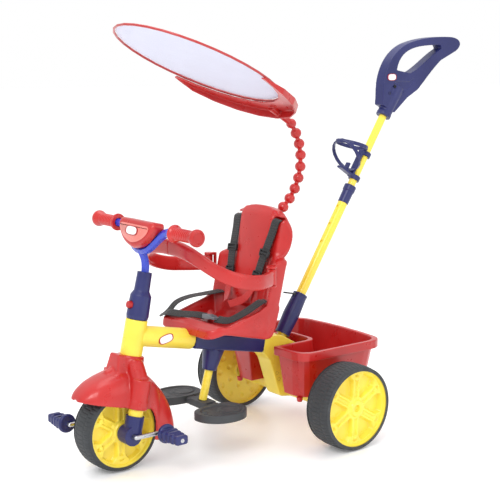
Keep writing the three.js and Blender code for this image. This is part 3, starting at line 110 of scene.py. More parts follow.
# ------------------------------------------------------------------ camera
AZIMUTH, ELEVATION = math.radians(51.78), math.radians(9.45)
CAMERA_FROM_ORIGIN, LENS = Vector((2.02305, -1.22634, 0.86888)), 81.88
camera = placed("camera", bpy.data.cameras.new("camera"))
camera.location = ORIGIN + CAMERA_FROM_ORIGIN
towards_camera = Vector((math.sin(AZIMUTH) * math.cos(ELEVATION),
                         -math.cos(AZIMUTH) * math.cos(ELEVATION), math.sin(ELEVATION)))
camera.rotation_mode = "QUATERNION"
camera.rotation_quaternion = (-towards_camera).to_track_quat("-Z", "Y")
camera.data.sensor_width = 36
camera.data.lens = LENS
bpy.context.scene.camera = camera
bpy.context.scene.view_settings.view_transform = "Standard"


# ------------------------------------------------------------------ materials
def shader(name):
    """A new node material: (material, add(node type), link, principled shader, object coordinates)."""
    mat = bpy.data.materials.new(name)
    mat.use_nodes = True
    nodes, links = mat.node_tree.nodes, mat.node_tree.links
    principled = nodes["Principled BSDF"]
    place = nodes.new("ShaderNodeTexCoord").outputs["Object"]
    return mat, nodes.new, links.new, principled, place


def plain(node, **values):
    """Sets a node's own sockets; an underscore stands for a space."""
    for key, value in values.items():
        node.inputs[key.replace("_", " ")].default_value = value


def noise(add, link, place, scale, detail):
    node = add("ShaderNodeTexNoise")
    plain(node, Scale=scale, Detail=detail)
    link(place, node.inputs["Vector"])
    return node.outputs["Fac"]


def spread(add, link, value, low, high, from_low=0.3, from_high=0.7):
    node = add("ShaderNodeMapRange")
    plain(node, From_Min=from_low, From_Max=from_high, To_Min=low, To_Max=high)
    link(value, node.inputs["Value"])
    return node.outputs["Result"]


def tint(add, link, fac, low, high):
    node = add("ShaderNodeMix")
    node.data_type = "RGBA"
    link(fac, node.inputs["Factor"])
    node.inputs[6].default_value = (*low, 1)
    node.inputs[7].default_value = (*high, 1)
    return node.outputs[2]


def raised(add, link, height, distance, strength, normal=None):
    node = add("ShaderNodeBump")
    plain(node, Distance=distance, Strength=strength)
    link(height, node.inputs["Height"])
    if normal is not None:
        link(normal, node.inputs["Normal"])
    return node.outputs["Normal"]


def math_node(add, link, operation, a, b):
    node = add("ShaderNodeMath")
    node.operation = operation
    link(a, node.inputs[0])
    link(b, node.inputs[1])
    return node.outputs[0]


def wear_and_highlight_mask(add, link, place):
    """1 along outside edges, broken up by noise: painted highlight along the edges, which also stands for
    wear.
    """
    geometry = add("ShaderNodeNewGeometry")
    edges = spread(add, link, geometry.outputs["Pointiness"], 0, 1, 0.58, 0.7)
    patches = spread(add, link, noise(add, link, place, 60, 4), 0, 0.8, 0.42, 0.62)
    return math_node(add, link, "MULTIPLY", edges, patches)


def moulded(name, colour, roughness=0.35, grain=0.05, coat=0.0, soft=0.0):
    """Moulded plastic: slow colour drift, satin patches, fine grain and pale edges, a painted highlight that
    also stands for wear.
    """
    mat, add, link, principled, place = shader(name)
    deep = tuple(c * 0.86 for c in colour)
    pale = tuple(min(1, c * 1.08 + 0.01) for c in colour)
    # Pale edge colour: painted highlight on convex edges, also standing for wear.
    wear_and_highlight = tuple(min(1, c * 1.1 + 0.06) for c in colour)
    drift = tint(add, link, spread(add, link, noise(add, link, place, 9, 5), 0, 1), deep, pale)
    mix = add("ShaderNodeMix")
    mix.data_type = "RGBA"
    link(wear_and_highlight_mask(add, link, place), mix.inputs["Factor"])
    link(drift, mix.inputs[6])
    mix.inputs[7].default_value = (*wear_and_highlight, 1)
    link(mix.outputs[2], principled.inputs["Base Color"])
    satin = spread(add, link, noise(add, link, place, 45, 4), roughness - 0.07, roughness + 0.08)
    link(satin, principled.inputs["Roughness"])
    fine = raised(add, link, noise(add, link, place, 900, 2), 0.0001, grain)
    waves = raised(add, link, noise(add, link, place, 70, 2), 0.0012, 0.05, fine)
    link(waves, principled.inputs["Normal"])
    plain(principled, Coat_Weight=coat, Coat_Roughness=0.12, Subsurface_Weight=soft,
          Subsurface_Radius=(0.004, 0.002, 0.001))
    return mat


def painted(name, colour, roughness=0.25):
    """Powder-coated steel: fine orange peel under a clear, glossy skin."""
    mat, add, link, principled, place = shader(name)
    drift = tint(add, link, noise(add, link, place, 14, 4), tuple(c * 0.9 for c in colour), colour)
    link(drift, principled.inputs["Base Color"])
    link(spread(add, link, noise(add, link, place, 80, 3), roughness - 0.05, roughness + 0.1),
         principled.inputs["Roughness"])
    link(raised(add, link, noise(add, link, place, 420, 2), 0.0004, 0.18), principled.inputs["Normal"])
    plain(principled, Coat_Weight=0.5, Coat_Roughness=0.08)
    return mat


def metal(name, colour, roughness=0.3):
    mat, add, link, principled, place = shader(name)
    link(tint(add, link, noise(add, link, place, 30, 5), tuple(c * 0.75 for c in colour), colour),
         principled.inputs["Base Color"])
    link(spread(add, link, noise(add, link, place, 200, 4), roughness - 0.1, roughness + 0.15),
         principled.inputs["Roughness"])
    link(raised(add, link, noise(add, link, place, 900, 2), 0.0003, 0.15), principled.inputs["Normal"])
    plain(principled, Metallic=1.0)
    return mat


def woven(name, colour, pitch, roughness, sheen, depth):
    """Cloth: warp and weft threads crossing, with uneven dye and a soft sheen."""
    mat, add, link, principled, place = shader(name)
    heights = []
    for axis, turn in (("X", 0.0), ("Y", 0.35), ("Z", 0.6)):
        wave = add("ShaderNodeTexWave")
        wave.bands_direction = axis
        plain(wave, Scale=0.314 / pitch, Distortion=0.6, Detail=1.0, Detail_Scale=6.0, Phase_Offset=turn)
        link(place, wave.inputs["Vector"])
        heights.append(wave.outputs["Fac"])
    weave = math_node(add, link, "MAXIMUM", math_node(add, link, "MAXIMUM", *heights[:2]), heights[2])
    threads = tint(add, link, weave, tuple(c * 0.8 for c in colour), colour)
    cloud = spread(add, link, noise(add, link, place, 20, 4), 0.97, 1.01)
    dye = add("ShaderNodeMix")
    dye.data_type = "RGBA"
    dye.blend_type = "MULTIPLY"
    dye.inputs["Factor"].default_value = 1.0
    link(threads, dye.inputs[6])
    link(cloud, dye.inputs[7])
    link(dye.outputs[2], principled.inputs["Base Color"])
    link(raised(add, link, weave, depth, 0.7), principled.inputs["Normal"])
    plain(principled, Roughness=roughness, Sheen_Weight=sheen, Sheen_Roughness=0.5)
    return mat


def linear(r, g, b):
    """Scene colour of an on-screen one."""
    return tuple((c / 255) ** 2.2 for c in (r, g, b))


RED = moulded("red_plastic", linear(184, 26, 24), 0.32, coat=0.2, soft=0.03)
DEEP_RED = moulded("deep_red_plastic", linear(170, 26, 28), 0.45)
YELLOW = moulded("yellow_plastic", linear(246, 220, 74), 0.33, coat=0.15, soft=0.04)
NAVY = moulded("navy_plastic", linear(28, 34, 92), 0.36, grain=0.12)
BLUE = painted("blue_paint", linear(32, 60, 186))
YELLOW_PAINT = painted("yellow_paint", linear(248, 222, 70))
RED_WIRE = painted("red_wire", linear(176, 40, 40), 0.35)
STEEL = metal("bright_steel", (0.62, 0.63, 0.65))
TYRE = moulded("tyre_plastic", linear(50, 53, 56), 0.62, grain=0.35)
GREY = moulded("grey_plastic", linear(58, 60, 63), 0.55, grain=0.3)
BLACK = moulded("black_plastic", linear(30, 32, 35), 0.45, grain=0.15)
BUCKLE = moulded("buckle_plastic", linear(112, 118, 124), 0.4, grain=0.1)
WHITE = moulded("white_plastic", linear(244, 244, 246), 0.3)
# Near-black painted shadow for the insides of sunken screw holes.
HOLE_SHADOW_PAINT = moulded("hole_shadow", linear(22, 20, 20), 0.7)
# Pale pink copy of the red plastic: painted highlight for the console's flat front face.
PAINTED_HIGHLIGHT_RED = moulded("painted_highlight_red_plastic", linear(228, 122, 112), 0.22, coat=0.4)
WEBBING = woven("webbing", linear(26, 28, 30), 0.0016, 0.75, 0.25, 0.0005)
RED_WEBBING = woven("red_webbing", linear(190, 40, 38), 0.0016, 0.75, 0.25, 0.0005)
CLOTH = woven("canopy_cloth", linear(212, 217, 238), 0.0012, 0.8, 0.35, 0.00025)


# ------------------------------------------------------------------ mesh building
def raw(name, verts, faces, place=TRIKE):
    """A mesh object from points in a local frame, with its faces turned outwards."""
    mesh = bpy.data.meshes.new(name)
    mesh.from_pydata([place @ Vector(v) for v in verts], [], faces)
    bm = bmesh.new()
    bm.from_mesh(mesh)
    bmesh.ops.remove_doubles(bm, verts=bm.verts, dist=1e-6)
    bmesh.ops.dissolve_degenerate(bm, edges=bm.edges, dist=1e-6)
    bmesh.ops.recalc_face_normals(bm, faces=bm.faces)
    bm.to_mesh(mesh)
    bm.free()
    return placed(name, mesh)


def joined(name, *objects):
    """Several mesh objects as one."""
    bm = bmesh.new()
    for o in objects:
        bm.from_mesh(o.data)
        bpy.data.objects.remove(o)
    mesh = bpy.data.meshes.new(name)
    bm.to_mesh(mesh)
    bm.free()
    return placed(name, mesh)


def applied(obj):
    """Bakes an object's modifiers into its mesh."""
    graph = bpy.context.evaluated_depsgraph_get()
    mesh = bpy.data.meshes.new_from_object(obj.evaluated_get(graph))
    obj.modifiers.clear()
    obj.data = mesh
    return obj


def cut(obj, *tools):
    """Subtracts closed solids from a closed solid."""
    for tool in tools:
        mod = obj.modifiers.new("cut", "BOOLEAN")
        mod.operation = "DIFFERENCE"
        mod.solver = "EXACT"
        mod.object = tool
    bpy.context.view_layer.update()
    applied(obj)
    for tool in tools:
        bpy.data.objects.remove(tool)
    return obj


def melted(obj, voxel, passes):
    """Fuses overlapping solids and rounds every edge, as a mould does; no passes leaves the edges."""
    mod = obj.modifiers.new("fuse", "REMESH")
    mod.mode = "VOXEL"
    mod.voxel_size = voxel * MM
    if passes:
        soften = obj.modifiers.new("soften", "SMOOTH")
        soften.iterations = passes
        soften.factor = 0.5
    return applied(obj)


def dress(obj, body, slot, material, *nodes, sharp, bevel=0.0):
    """Gives a piece its finish, its edges and the CAD body that it rides on."""
    if bevel:
        mod = obj.modifiers.new("bevel", "BEVEL")
        mod.width = bevel * MM
        mod.segments = 3
        mod.limit_method = "ANGLE"
        mod.angle_limit = math.radians(35)
        applied(obj)
    obj.data.shade_smooth()
    if sharp:
        obj.data.set_sharp_from_angle(angle=math.radians(sharp))
    obj.data.materials.clear()
    obj.data.materials.append(material)
    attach(obj, body)
    if nodes:
        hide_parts(*nodes)
    return obj


def grid_faces(rows, count):
    """Quads between neighbouring rings of count points."""
    faces = []
    for i in range(rows - 1):
        for j in range(count):
            k = (j + 1) % count
            faces.append((i * count + j, i * count + k, (i + 1) * count + k, (i + 1) * count + j))
    return faces


def loft(name, rings, place=TRIKE, capped=True, loop=False):
    """A skin through rings of equal numbers of points."""
    count = len(rings[0])
    verts = [p for ring in rings for p in ring]
    faces = grid_faces(len(rings), count)
    if loop:
        last = (len(rings) - 1) * count
        faces += [(last + j, last + (j + 1) % count, (j + 1) % count, j) for j in range(count)]
    elif capped:
        faces.append(tuple(range(count)))
        faces.append(tuple(range((len(rings) - 1) * count, len(rings) * count)))
    return raw(name, verts, faces, place)


def revolve(name, profile, place=TRIKE, sides=48, axis="Z", closed=False):
    """Turns (radius, distance) points about Z or X; closed joins the last point to the first."""
    points = list(profile) + ([profile[0]] if closed else [])
    rings = []
    for r, h in points:
        ring = []
        for i in range(sides):
            a = 2 * math.pi * i / sides
            c, s = max(r, 0.001) * math.cos(a), max(r, 0.001) * math.sin(a)
            ring.append((h, c, s) if axis == "X" else (c, s, h))
        rings.append(ring)
    if closed:
        rings = rings[:-1]
    return loft(name, rings, place, capped=not closed, loop=closed)


def smooth_path(points, per=8):
    """Points along a Catmull-Rom curve through the given ones."""
    pts = [Vector(p) for p in points]
    ends = [2 * pts[0] - pts[1]] + pts + [2 * pts[-1] - pts[-2]]
    path = []
    for i in range(1, len(ends) - 2):
        a, b, c, d = ends[i - 1:i + 3]
        for k in range(per):
            t = k / per
            path.append(0.5 * (2 * b + (c - a) * t + (2 * a - 5 * b + 4 * c - d) * t * t
                               + (3 * b - a - 3 * c + d) * t ** 3))
    path.append(pts[-1])
    return path


def sweep(name, path, section, up, place=TRIKE, upright=False):
    """Carries a section of (side, up) points along a path; upright keeps its up fixed."""
    up = Vector(up)
    rings = []
    last = len(path) - 1
    for i, p in enumerate(path):
        ahead = (path[min(i + 1, last)] - path[max(i - 1, 0)]).normalized()
        side = ahead.cross(up).normalized()
        rise = up if upright else side.cross(ahead)
        rings.append([tuple(p + side * u + rise * v) for u, v in section])
    return loft(name, rings, place)


def oval(a, b, power=2.0, count=24):
    """A rounded outline: power 2 is an ellipse, more is squarer."""
    points = []
    for i in range(count):
        t = 2 * math.pi * i / count
        c, s = math.cos(t), math.sin(t)
        u, v = math.copysign(abs(c) ** (2 / power), c), math.copysign(abs(s) ** (2 / power), s)
        points.append((a * u, b * v))
    return points


def rounded(corners, radius, steps=5):
    """A polygon with its corners rounded."""
    out = []
    count = len(corners)
    for i in range(count):
        here = Vector(corners[i])
        back, ahead = Vector(corners[i - 1]) - here, Vector(corners[(i + 1) % count]) - here
        r = min(radius, back.length * 0.45, ahead.length * 0.45)
        a, b = here + back.normalized() * r, here + ahead.normalized() * r
        for k in range(steps + 1):
            t = k / steps
            out.append(tuple((1 - t) ** 2 * a + 2 * t * (1 - t) * here + t * t * b))
    return out


def bezier(start, *segments, steps=10):
    """An outline of straight lines (one point) and cubic curves (three points)."""
    points = [Vector(start)]
    for seg in segments:
        a = points[-1]
        if len(seg) == 1:
            points.append(Vector(seg[0]))
            continue
        b, c, d = (Vector(p) for p in seg)
        for k in range(1, steps + 1):
            t = k / steps
            points.append((1 - t) ** 3 * a + 3 * t * (1 - t) ** 2 * b + 3 * t * t * (1 - t) * c + t ** 3 * d)
    if (points[0] - points[-1]).length < 1e-6:
        points.pop()
    return [tuple(p) for p in points]


def prism(name, outline, low, high, across, place=TRIKE):
    """An outline drawn across X (in YZ), Y (in XZ) or Z (in XY), extruded from low to high."""
    put = {"X": lambda u, v, w: (w, u, v), "Y": lambda u, v, w: (u, w, v),
           "Z": lambda u, v, w: (u, v, w)}[across]
    return loft(name, [[put(u, v, w) for u, v in outline] for w in (low, high)], place)


def rod(name, start, end, radius, place=TRIKE, end_radius=None, sides=32):
    """A cylinder or cone between two points."""
    a, b = Vector(start), Vector(end)
    turn = (b - a).to_track_quat("Z", "Y")
    rings = []
    for p, r in ((a, radius), (b, radius if end_radius is None else end_radius)):
        rings.append([tuple(p + turn @ Vector((r * math.cos(t), r * math.sin(t), 0)))
                      for t in (2 * math.pi * i / sides for i in range(sides))])
    return loft(name, rings, place)


def step(a, b, x):
    """0 up to a, 1 from b, and smooth between."""
    t = np.clip((x - a) / (b - a), 0, 1)
    return t * t * (3 - 2 * t)


def cad_copy(name, node):
    """A welded copy of a CAD node's mesh, in the row frame."""
    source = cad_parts[node]
    bm = bmesh.new()
    bm.from_mesh(source.data)
    bm.transform(source.matrix_world)
    bmesh.ops.remove_doubles(bm, verts=bm.verts, dist=2e-6)
    mesh = bpy.data.meshes.new(name)
    bm.to_mesh(mesh)
    bm.free()
    return placed(name, mesh)


def clipped(obj, point, normal):
    """Takes away what lies beyond a plane, on the side that its normal points to, and closes the cut."""
    bm = bmesh.new()
    bm.from_mesh(obj.data)
    bmesh.ops.bisect_plane(bm, geom=bm.verts[:] + bm.edges[:] + bm.faces[:], plane_co=point, plane_no=normal,
                           clear_outer=True)
    bmesh.ops.holes_fill(bm, edges=[e for e in bm.edges if e.is_boundary])
    bm.to_mesh(obj.data)
    bm.free()
    return obj


def moulding(name, node, body, material, voxel, passes):
    """The moulded form of a CAD node, with every edge rounded."""
    obj = melted(cad_copy(name, node), voxel, passes)
    slot = material.name.split(".")[0]      # Blender numbers a name that the CAD's materials hold already
    slot = {"bright_steel": "steel", "deep_red_plastic": "red_plastic"}.get(slot, slot)
    return dress(obj, body, slot, material, node, sharp=0)


# ------------------------------------------------------------------ wheels
def tyre(name, node, body, place, radius, half, rim_r, blocks):
    """A hollow-moulded tyre with two rows of shallow tread blocks and a stepped side wall."""
    profile = []
    for i in range(25):
        u = -1 + i / 12
        profile.append((radius - 5.5 * abs(u) ** 5, (half - 3) * u, 1.0))
    side = [(radius - 8.5, half - 0.8, 0), (radius - 11, half - 0.2, 0), (rim_r + 6, half - 1.2, 0),
            (rim_r + 3.5, half - 1.5, 0), (rim_r + 2.4, half - 3.2, 0), (rim_r - 1.5, half - 4, 0)]
    profile = [(r, -h, k) for r, h, k in reversed(side)] + profile + side
    profile = profile + [(rim_r - 1.5, 0, 0)]
    steps = blocks * 6
    rings = []
    for r, h, tread in profile:
        ring = []
        for i in range(steps):
            a = 2 * math.pi * i / steps
            row = 0 if abs(h) > half * 0.36 else 3
            groove = ((i + row) % 6) in (0, 1)
            belt = abs(abs(h) - half * 0.36) < 1.6
            depth = 1.1 if tread and (groove or belt) else 0
            ring.append((h, (r - depth) * math.cos(a), (r - depth) * math.sin(a)))
        rings.append(ring)
    obj = loft(name, rings, place, capped=False, loop=True)
    return dress(obj, body, "tyre_plastic", TYRE, node, sharp=32)


def rim_outer(r, a, rim_r, half):
    """Outer face: six wide double spokes with a boss in each, deep pockets between, a hub and a lip."""
    turn = (a * 6 / (2 * math.pi)) % 1
    off = min(turn, 1 - turn) * math.pi / 3 * r                # distance from a spoke's middle
    shoulder = 9 + 9 * step(rim_r - 30, rim_r - 10, r) ** 2
    base = half - 9
    outer = 1 - step(rim_r - 12, rim_r - 7.5, r)
    pocket = step(25, 30, r) * outer * step(shoulder, shoulder + 4, off)
    groove = step(23, 27, r) * (1 - step(rim_r - 13, rim_r - 10, r)) * (1 - step(3.2, 5.2, off))
    boss = 1 - step(4.6, 6.4, math.hypot(off, r - (rim_r - 20)))
    face = base - 12 * pocket - 4 * groove * (1 - boss) + 1.5 * boss
    face += 4.5 * (1 - step(17, 20.5, r)) - 6 * (1 - step(7.4, 8.6, r)) - 1.2 * (1 - step(11, 12.5, r))
    return face + (half - 2.2 - base) * step(rim_r - 6.5, rim_r - 4, r)


def rim_inner(r, a, rim_r, half):
    lip = step(rim_r - 5, rim_r - 3, r)
    hub = 1 - step(20, 23, r)
    dimple = 0
    for ring_r, count in ((rim_r * 0.46, 8), (rim_r * 0.76, 12)):
        turn = (a * count / (2 * math.pi)) % 1
        off = min(turn, 1 - turn) * 2 * math.pi / count * r
        dimple = max(dimple, 1 - step(4, 6.5, math.hypot(off, r - ring_r)))
    return half - 11 + 7 * lip + 5 * hub - 3 * dimple


def rim(name, node, body, place, rim_r, half, outer_left, outer_right):
    """A rim as one closed skin: a face on each side given by its height at each radius and angle."""
    radii = list(np.linspace(0.01, 26, 16)) + list(np.linspace(27, rim_r - 8, 26)) \
        + list(np.linspace(rim_r - 7, rim_r - 0.4, 10))
    sides = 216
    rings = []
    for face, sign in ((outer_left, 1), (outer_right, -1)):
        half_rings = []
        for r in radii:
            ring = []
            for i in range(sides):
                a = 2 * math.pi * i / sides
                h = sign * face(r, a, rim_r, half)
                ring.append((h, r * math.cos(a + 0.5), r * math.sin(a + 0.5)))
            half_rings.append(ring)
        rings += half_rings if sign == 1 else half_rings[::-1]
    obj = loft(name, rings, place)
    return dress(obj, body, "yellow_plastic", YELLOW, node, sharp=50)


tyre("front_tyre_treaded", "front_tyre", "front_wheel", LEVEL, FRONT_R * FLAT, FRONT_HALF,
     FRONT_RIM_R, 58)
rim("front_rim_spoked", "front_wheel", "front_wheel", LEVEL, FRONT_RIM_R, FRONT_HALF, rim_outer, rim_outer)
for side_name, side in (("left", 1), ("right", -1)):
    wheel_place = frame_at(WHEELBASE, REAR_R, x=side * TRACK / 2)
    body = "rear_wheel_" + side_name
    tyre("rear_tyre_treaded_" + side_name, "rear_tyre_" + side_name, body, wheel_place,
         REAR_R * FLAT, REAR_HALF, REAR_RIM_R, 64)
    faces = (rim_outer, rim_inner) if side == 1 else (rim_inner, rim_outer)
    rim("rear_rim_spoked_" + side_name, "rear_wheel_" + side_name, body, wheel_place, REAR_RIM_R, REAR_HALF,
        *faces)

# ------------------------------------------------------------------ moulded and metal pieces
MOULDINGS = (
    # piece, CAD node, body, material, voxel, smoothing passes; %s is a side
    ("head_and_main_tube", "front_frame", "frame", YELLOW, 1.5, 6),
    ("centre_frame_moulding", "centre_frame", "frame", NAVY, 1.5, 5),
    ("rear_frame_moulding", "rear_frame", "frame", YELLOW, 1.6, 7),
    ("axle_bush_%s_turned", "axle_bush_%s", "frame", NAVY, 1.0, 3),
    ("rear_axle_bar", "rear_axle", "frame", STEEL, 1.0, 2),
    ("lower_pole_tube", "lower_pole", "frame", YELLOW_PAINT, 1.0, 3),
    ("pole_sleeve_moulding", "pole_sleeve", "frame", NAVY, 1.0, 3),
    ("pole_collar_moulding", "pole_collar", "frame", NAVY, 0.9, 3),
    ("release_lever_moulding", "pole_release_lever", "pole_release_lever", GREY, 0.6, 3),
    ("ring_hinge_%s_moulding", "ring_hinge_%s", "frame", RED, 1.0, 5),
    ("bin_shell", "bin", "frame", RED, 1.4, 4),
    ("footrest_post_bar", "footrest_post", "frame", YELLOW_PAINT, 1.0, 3),
    ("footrest_bracket_moulding", "footrest_bracket", "frame", GREY, 1.0, 4),
    ("neck_mount_moulding", "neck_mount", "frame", RED, 1.0, 4),
    ("fork_moulding", "fork", "steering", YELLOW, 1.4, 6),
    ("fork_end_%s_moulding", "fork_end_%s", "steering", NAVY, 1.0, 4),
    ("steering_collar_moulding", "steering_collar", "steering", NAVY, 1.0, 4),
    ("handlebar_tube", "handlebar", "steering", BLUE, 0.9, 4),
    ("steering_button_cap", "steering_button", "steering_button", DEEP_RED, 0.6, 3),
    ("crank_bar", "crank_axle", "front_wheel", STEEL, 0.8, 4),
    ("upper_pole_tube", "upper_pole", "push_bar", YELLOW_PAINT, 0.8, 2),
    ("cup_holder_moulding", "cup_holder", "push_bar", NAVY, 0.9, 2),
    ("canopy_bracket_moulding", "canopy_bracket", "canopy", RED, 1.1, 6),
    ("canopy_hoop_wire", "canopy_hoop", "canopy", RED_WIRE, 0.7, 3),
)
for piece, node, *rest in MOULDINGS:
    for side_name in ("left", "right") if "%s" in piece else ("",):
        moulding(piece.replace("%s", side_name), node.replace("%s", side_name), *rest)
for i in range(8):
    angle = NECK_START + NECK_STEP * i
    turn = math.radians(angle)
    here = frame_at(NECK_Y + NECK_R * math.cos(turn), NECK_Z + NECK_R * math.sin(turn),
                    -(angle + NECK_STEP / 2))
    link = NECK_R * math.radians(NECK_STEP)
    profile = [(0, -11.6)]
    profile += [(12.5 * math.cos(t) ** 0.8, 11.6 * math.sin(t)) for t in np.linspace(-1.35, 1.1, 22)]
    profile += [(5.6, 11.4), (5.0, 12.6), (5.0, link - 10.5), (0, link - 10.5)]
    node = "neck_bead_%d" % (i + 1)
    bead = revolve(node + "_turned", profile, here, 40)
    seam = revolve("seam", [(11.9, -0.7), (12.9, -0.5), (12.9, 0.5), (11.9, 0.7)], here, 40, closed=True)
    dress(joined(node + "_turned", bead, seam), node, "red_plastic", RED, node, sharp=40)


# ------------------------------------------------------------------ front fender
def fender():
    spine = bezier((-113, 63), ((-98, 92), (-66, 112), (-30, 127)), ((0, 130), (20, 130), (38, 127)),
                   ((70, 110), (108, 84), (120, 40)), ((120.6, 22),), steps=16)
    ys, zs = [p[0] for p in spine], [p[1] for p in spine]

    def half_at(y):
        return float(np.interp(y, [-113, -108, -100, -84, -60, -34, 0, 52, 90, 112, 121],
                               [16, 26, 34, 44, 51, 55, 57, 57, 54, 50, 47]))

    def skirt_at(y):
        if y < 40:
            return 56
        return min(56, math.sqrt(81 ** 2 - (y + 14) ** 2)) if y < 66.9 else -11

    def arch(y, top, wall):
        open_up = float(step(-113, -105, y)) if wall else 1
        low = skirt_at(y)
        w, rise = (half_at(y) - wall) * max(open_up, 0.02), (top - wall - low) * open_up + 0.1
        points = []
        for i in range(33):
            t = math.pi * i / 32
            c, v = math.cos(t), math.sin(t)
            points.append((w * math.copysign(abs(c) ** SQUARE, c), y, low + rise * v ** SQUARE))
        return points

    rings = []
    stations = sorted(set([round(y, 2) for y in ys] + [66.4, 66.8, 67.0]))
    for y in stations:
        top = float(np.interp(y, ys, zs))
        rings.append(arch(y, top, 0) + arch(y, top, HOOD_WALL)[::-1])
    hood = loft("fender_moulding", rings, STEER)
    extras = []
    for side in (-1, 1):
        x = side * LEG_X
        extras.append(rod("cover", (x, FORK_Y, 56), (x, FORK_Y, 120), 22.5, STEER))
        extras.append(rod("cover", (x, FORK_Y, 112), (side * 20, FORK_Y, 144), 18, STEER, 20))
        for z in (60, 66, 72):
            place = STEER @ Matrix.Translation((x, FORK_Y, z))
            extras.append(revolve("rib", [(20, -1.6), (23.8, -1.2), (23.8, 1.2), (20, 1.6)], place, 36,
                                  closed=True))
    place = STEER @ Matrix.Translation((0, FORK_Y, 0))
    extras.append(revolve("collar", [(0, 112), (38, 112), (32, 134), (29, 162), (0, 162)], place, 48))
    front = prism("panel", rounded([(-17, 162), (17, 162), (27, 118), (-27, 118)], 4), -36, -14, "Y", STEER)
    hump = rod("hump", (0, -46, 112), (0, -20, 132), 13, STEER, 10)
    obj = joined("fender_moulding", hood, *extras, front, hump)
    melted(obj, HOOD_VOXEL, 0)
    wheel_room = rod("room", (-40, 0, 0), (40, 0, 0), FRONT_R + 5, STEER, sides=96)
    bores = [rod("bore", (side * LEG_X, FORK_Y, 40), (side * LEG_X, FORK_Y, 100), 17, STEER) for side in (-1,
                                                                                                          1)]
    cut(obj, wheel_room, *bores)
    melted(obj, HOOD_VOXEL, 8)
    dress(obj, "steering", "red_plastic", RED, "front_fender", sharp=0)


fender()


# ------------------------------------------------------------------ handlebar fittings
def grip(side_name, side):
    end = GRIP_END
    profile = [(9.9, 107), (16.5, 107), (18.6, 108.6), (19, 111), (18.2, 113.2), (15.8, 115.4), (13.6, 118)]
    profile += [(12.8 + 0.5 * math.cos(i * math.pi), 121 + 3.1 * i) for i in range(17)]
    profile += [(12.6, end - 15), (14.4, end - 11), (17, end - 6), (18.2, end - 2), (18.2, end + 2),
                (16.6, end + 4.8),
                (12.4, end + 6), (11.6, end + 4.6), (0, end + 4.6)]
    place = frame_at(0, FRONT_R, HEAD_TILT) @ Matrix.Translation((0, BAR_Y, BAR_Z)) @ Matrix.Diagonal((side,
                                                                                                       1, 1,
                                                                                                       1))
    profile += [(0, end - 6), (9.9, end - 6)]
    obj = revolve("grip_" + side_name + "_ribbed", profile, place, 56, "X", closed=True)
    dress(obj, "steering", "red_plastic", RED, "grip_" + side_name, sharp=35)


grip("left", 1)
grip("right", -1)


def shield(grow):
    """The outline of the handlebar's shield in XZ, grown outwards."""
    top = BAR_Z + 15 + grow
    half = bezier((0, top), ((56 + grow, top),), ((64 + grow, top), (68 + grow, top - 8), (65 + grow, BAR_Z)),
                  ((54, BAR_DIP_Z + 24 - grow), (34, BAR_DIP_Z + 7 - grow), (0, BAR_DIP_Z + 3 - grow)),
                  steps=14)
    return half + [(-x, z) for x, z in reversed(half[1:-1])]


def console():
    crown = 16
    rings = []
    for i in range(crown + 1):
        t = i / crown
        inset = 9 * (1 - math.sqrt(max(0, 1 - (1 - t) ** 2))) if t < 1 else 0
        rings.append([(x, -40 + 10 * t, z) for x, z in shield(-inset)])
    rings.append([(x, BAR_Y + 3, z) for x, z in shield(0)])
    shell = loft("console_shell", rings, STEER)
    hollow = prism("hollow", [(x, z + 8) for x, z in shield(-9)], -33, BAR_Y + 8, "Y", STEER)
    tube = sweep("tube", smooth_path([(-120, BAR_Y, BAR_Z), (-84, BAR_Y, BAR_Z - 1), (-58, BAR_Y, BAR_Z - 17),
                                      (-26, BAR_Y, BAR_DIP_Z + 6), (0, BAR_Y, BAR_DIP_Z),
                                      (26, BAR_Y, BAR_DIP_Z + 6),
                                      (58, BAR_Y, BAR_Z - 17), (84, BAR_Y, BAR_Z - 1), (120, BAR_Y, BAR_Z)]),
                 oval(BAR_R + 1, BAR_R + 1), (0, 1, 0), STEER)
    cut(shell, hollow, tube)
    melted(shell, 1.0, 4)
    dress(shell, "steering", "red_plastic", RED, "handlebar_console", sharp=0)
    # The console's front face is coloured with painted highlight, a pale pink copy of the red plastic.
    face = loft("console_face", [[(x, y, z) for x, z in shield(-inset)]
                                 for inset, y in ((11, -40.2), (11.2, -41.4), (12.4, -42.2))], STEER)
    dress(face, "steering", "red_plastic", PAINTED_HIGHLIGHT_RED, sharp=40)
    badge("console_badge", STEER @ Matrix.Translation((-4, -42.6, BAR_Z - 10)), 23, 10, "steering")


def badge(name, place, half_w, half_h, body):
    """A plain oval plate with a raised rim, and nothing on it."""
    outer = oval(half_w, half_h, 3, 48)
    rings = [[(x * k, y, z * k) for x, z in outer] for k, y in ((1, 1), (1, -0.9), (0.96, -1.3), (0.9, -1.3),
                                                                (0.86, -0.7))]
    dress(loft(name + "_rim", rings, place), body, "red_plastic", DEEP_RED, sharp=35)
    plate = [[(x * k, y, z * k) for x, z in outer] for k, y in ((0.86, 0), (0.85, -0.95), (0.8, -1.1))]
    dress(loft(name + "_plate", plate, place), body, "canopy_fabric", WHITE, sharp=35)


console()


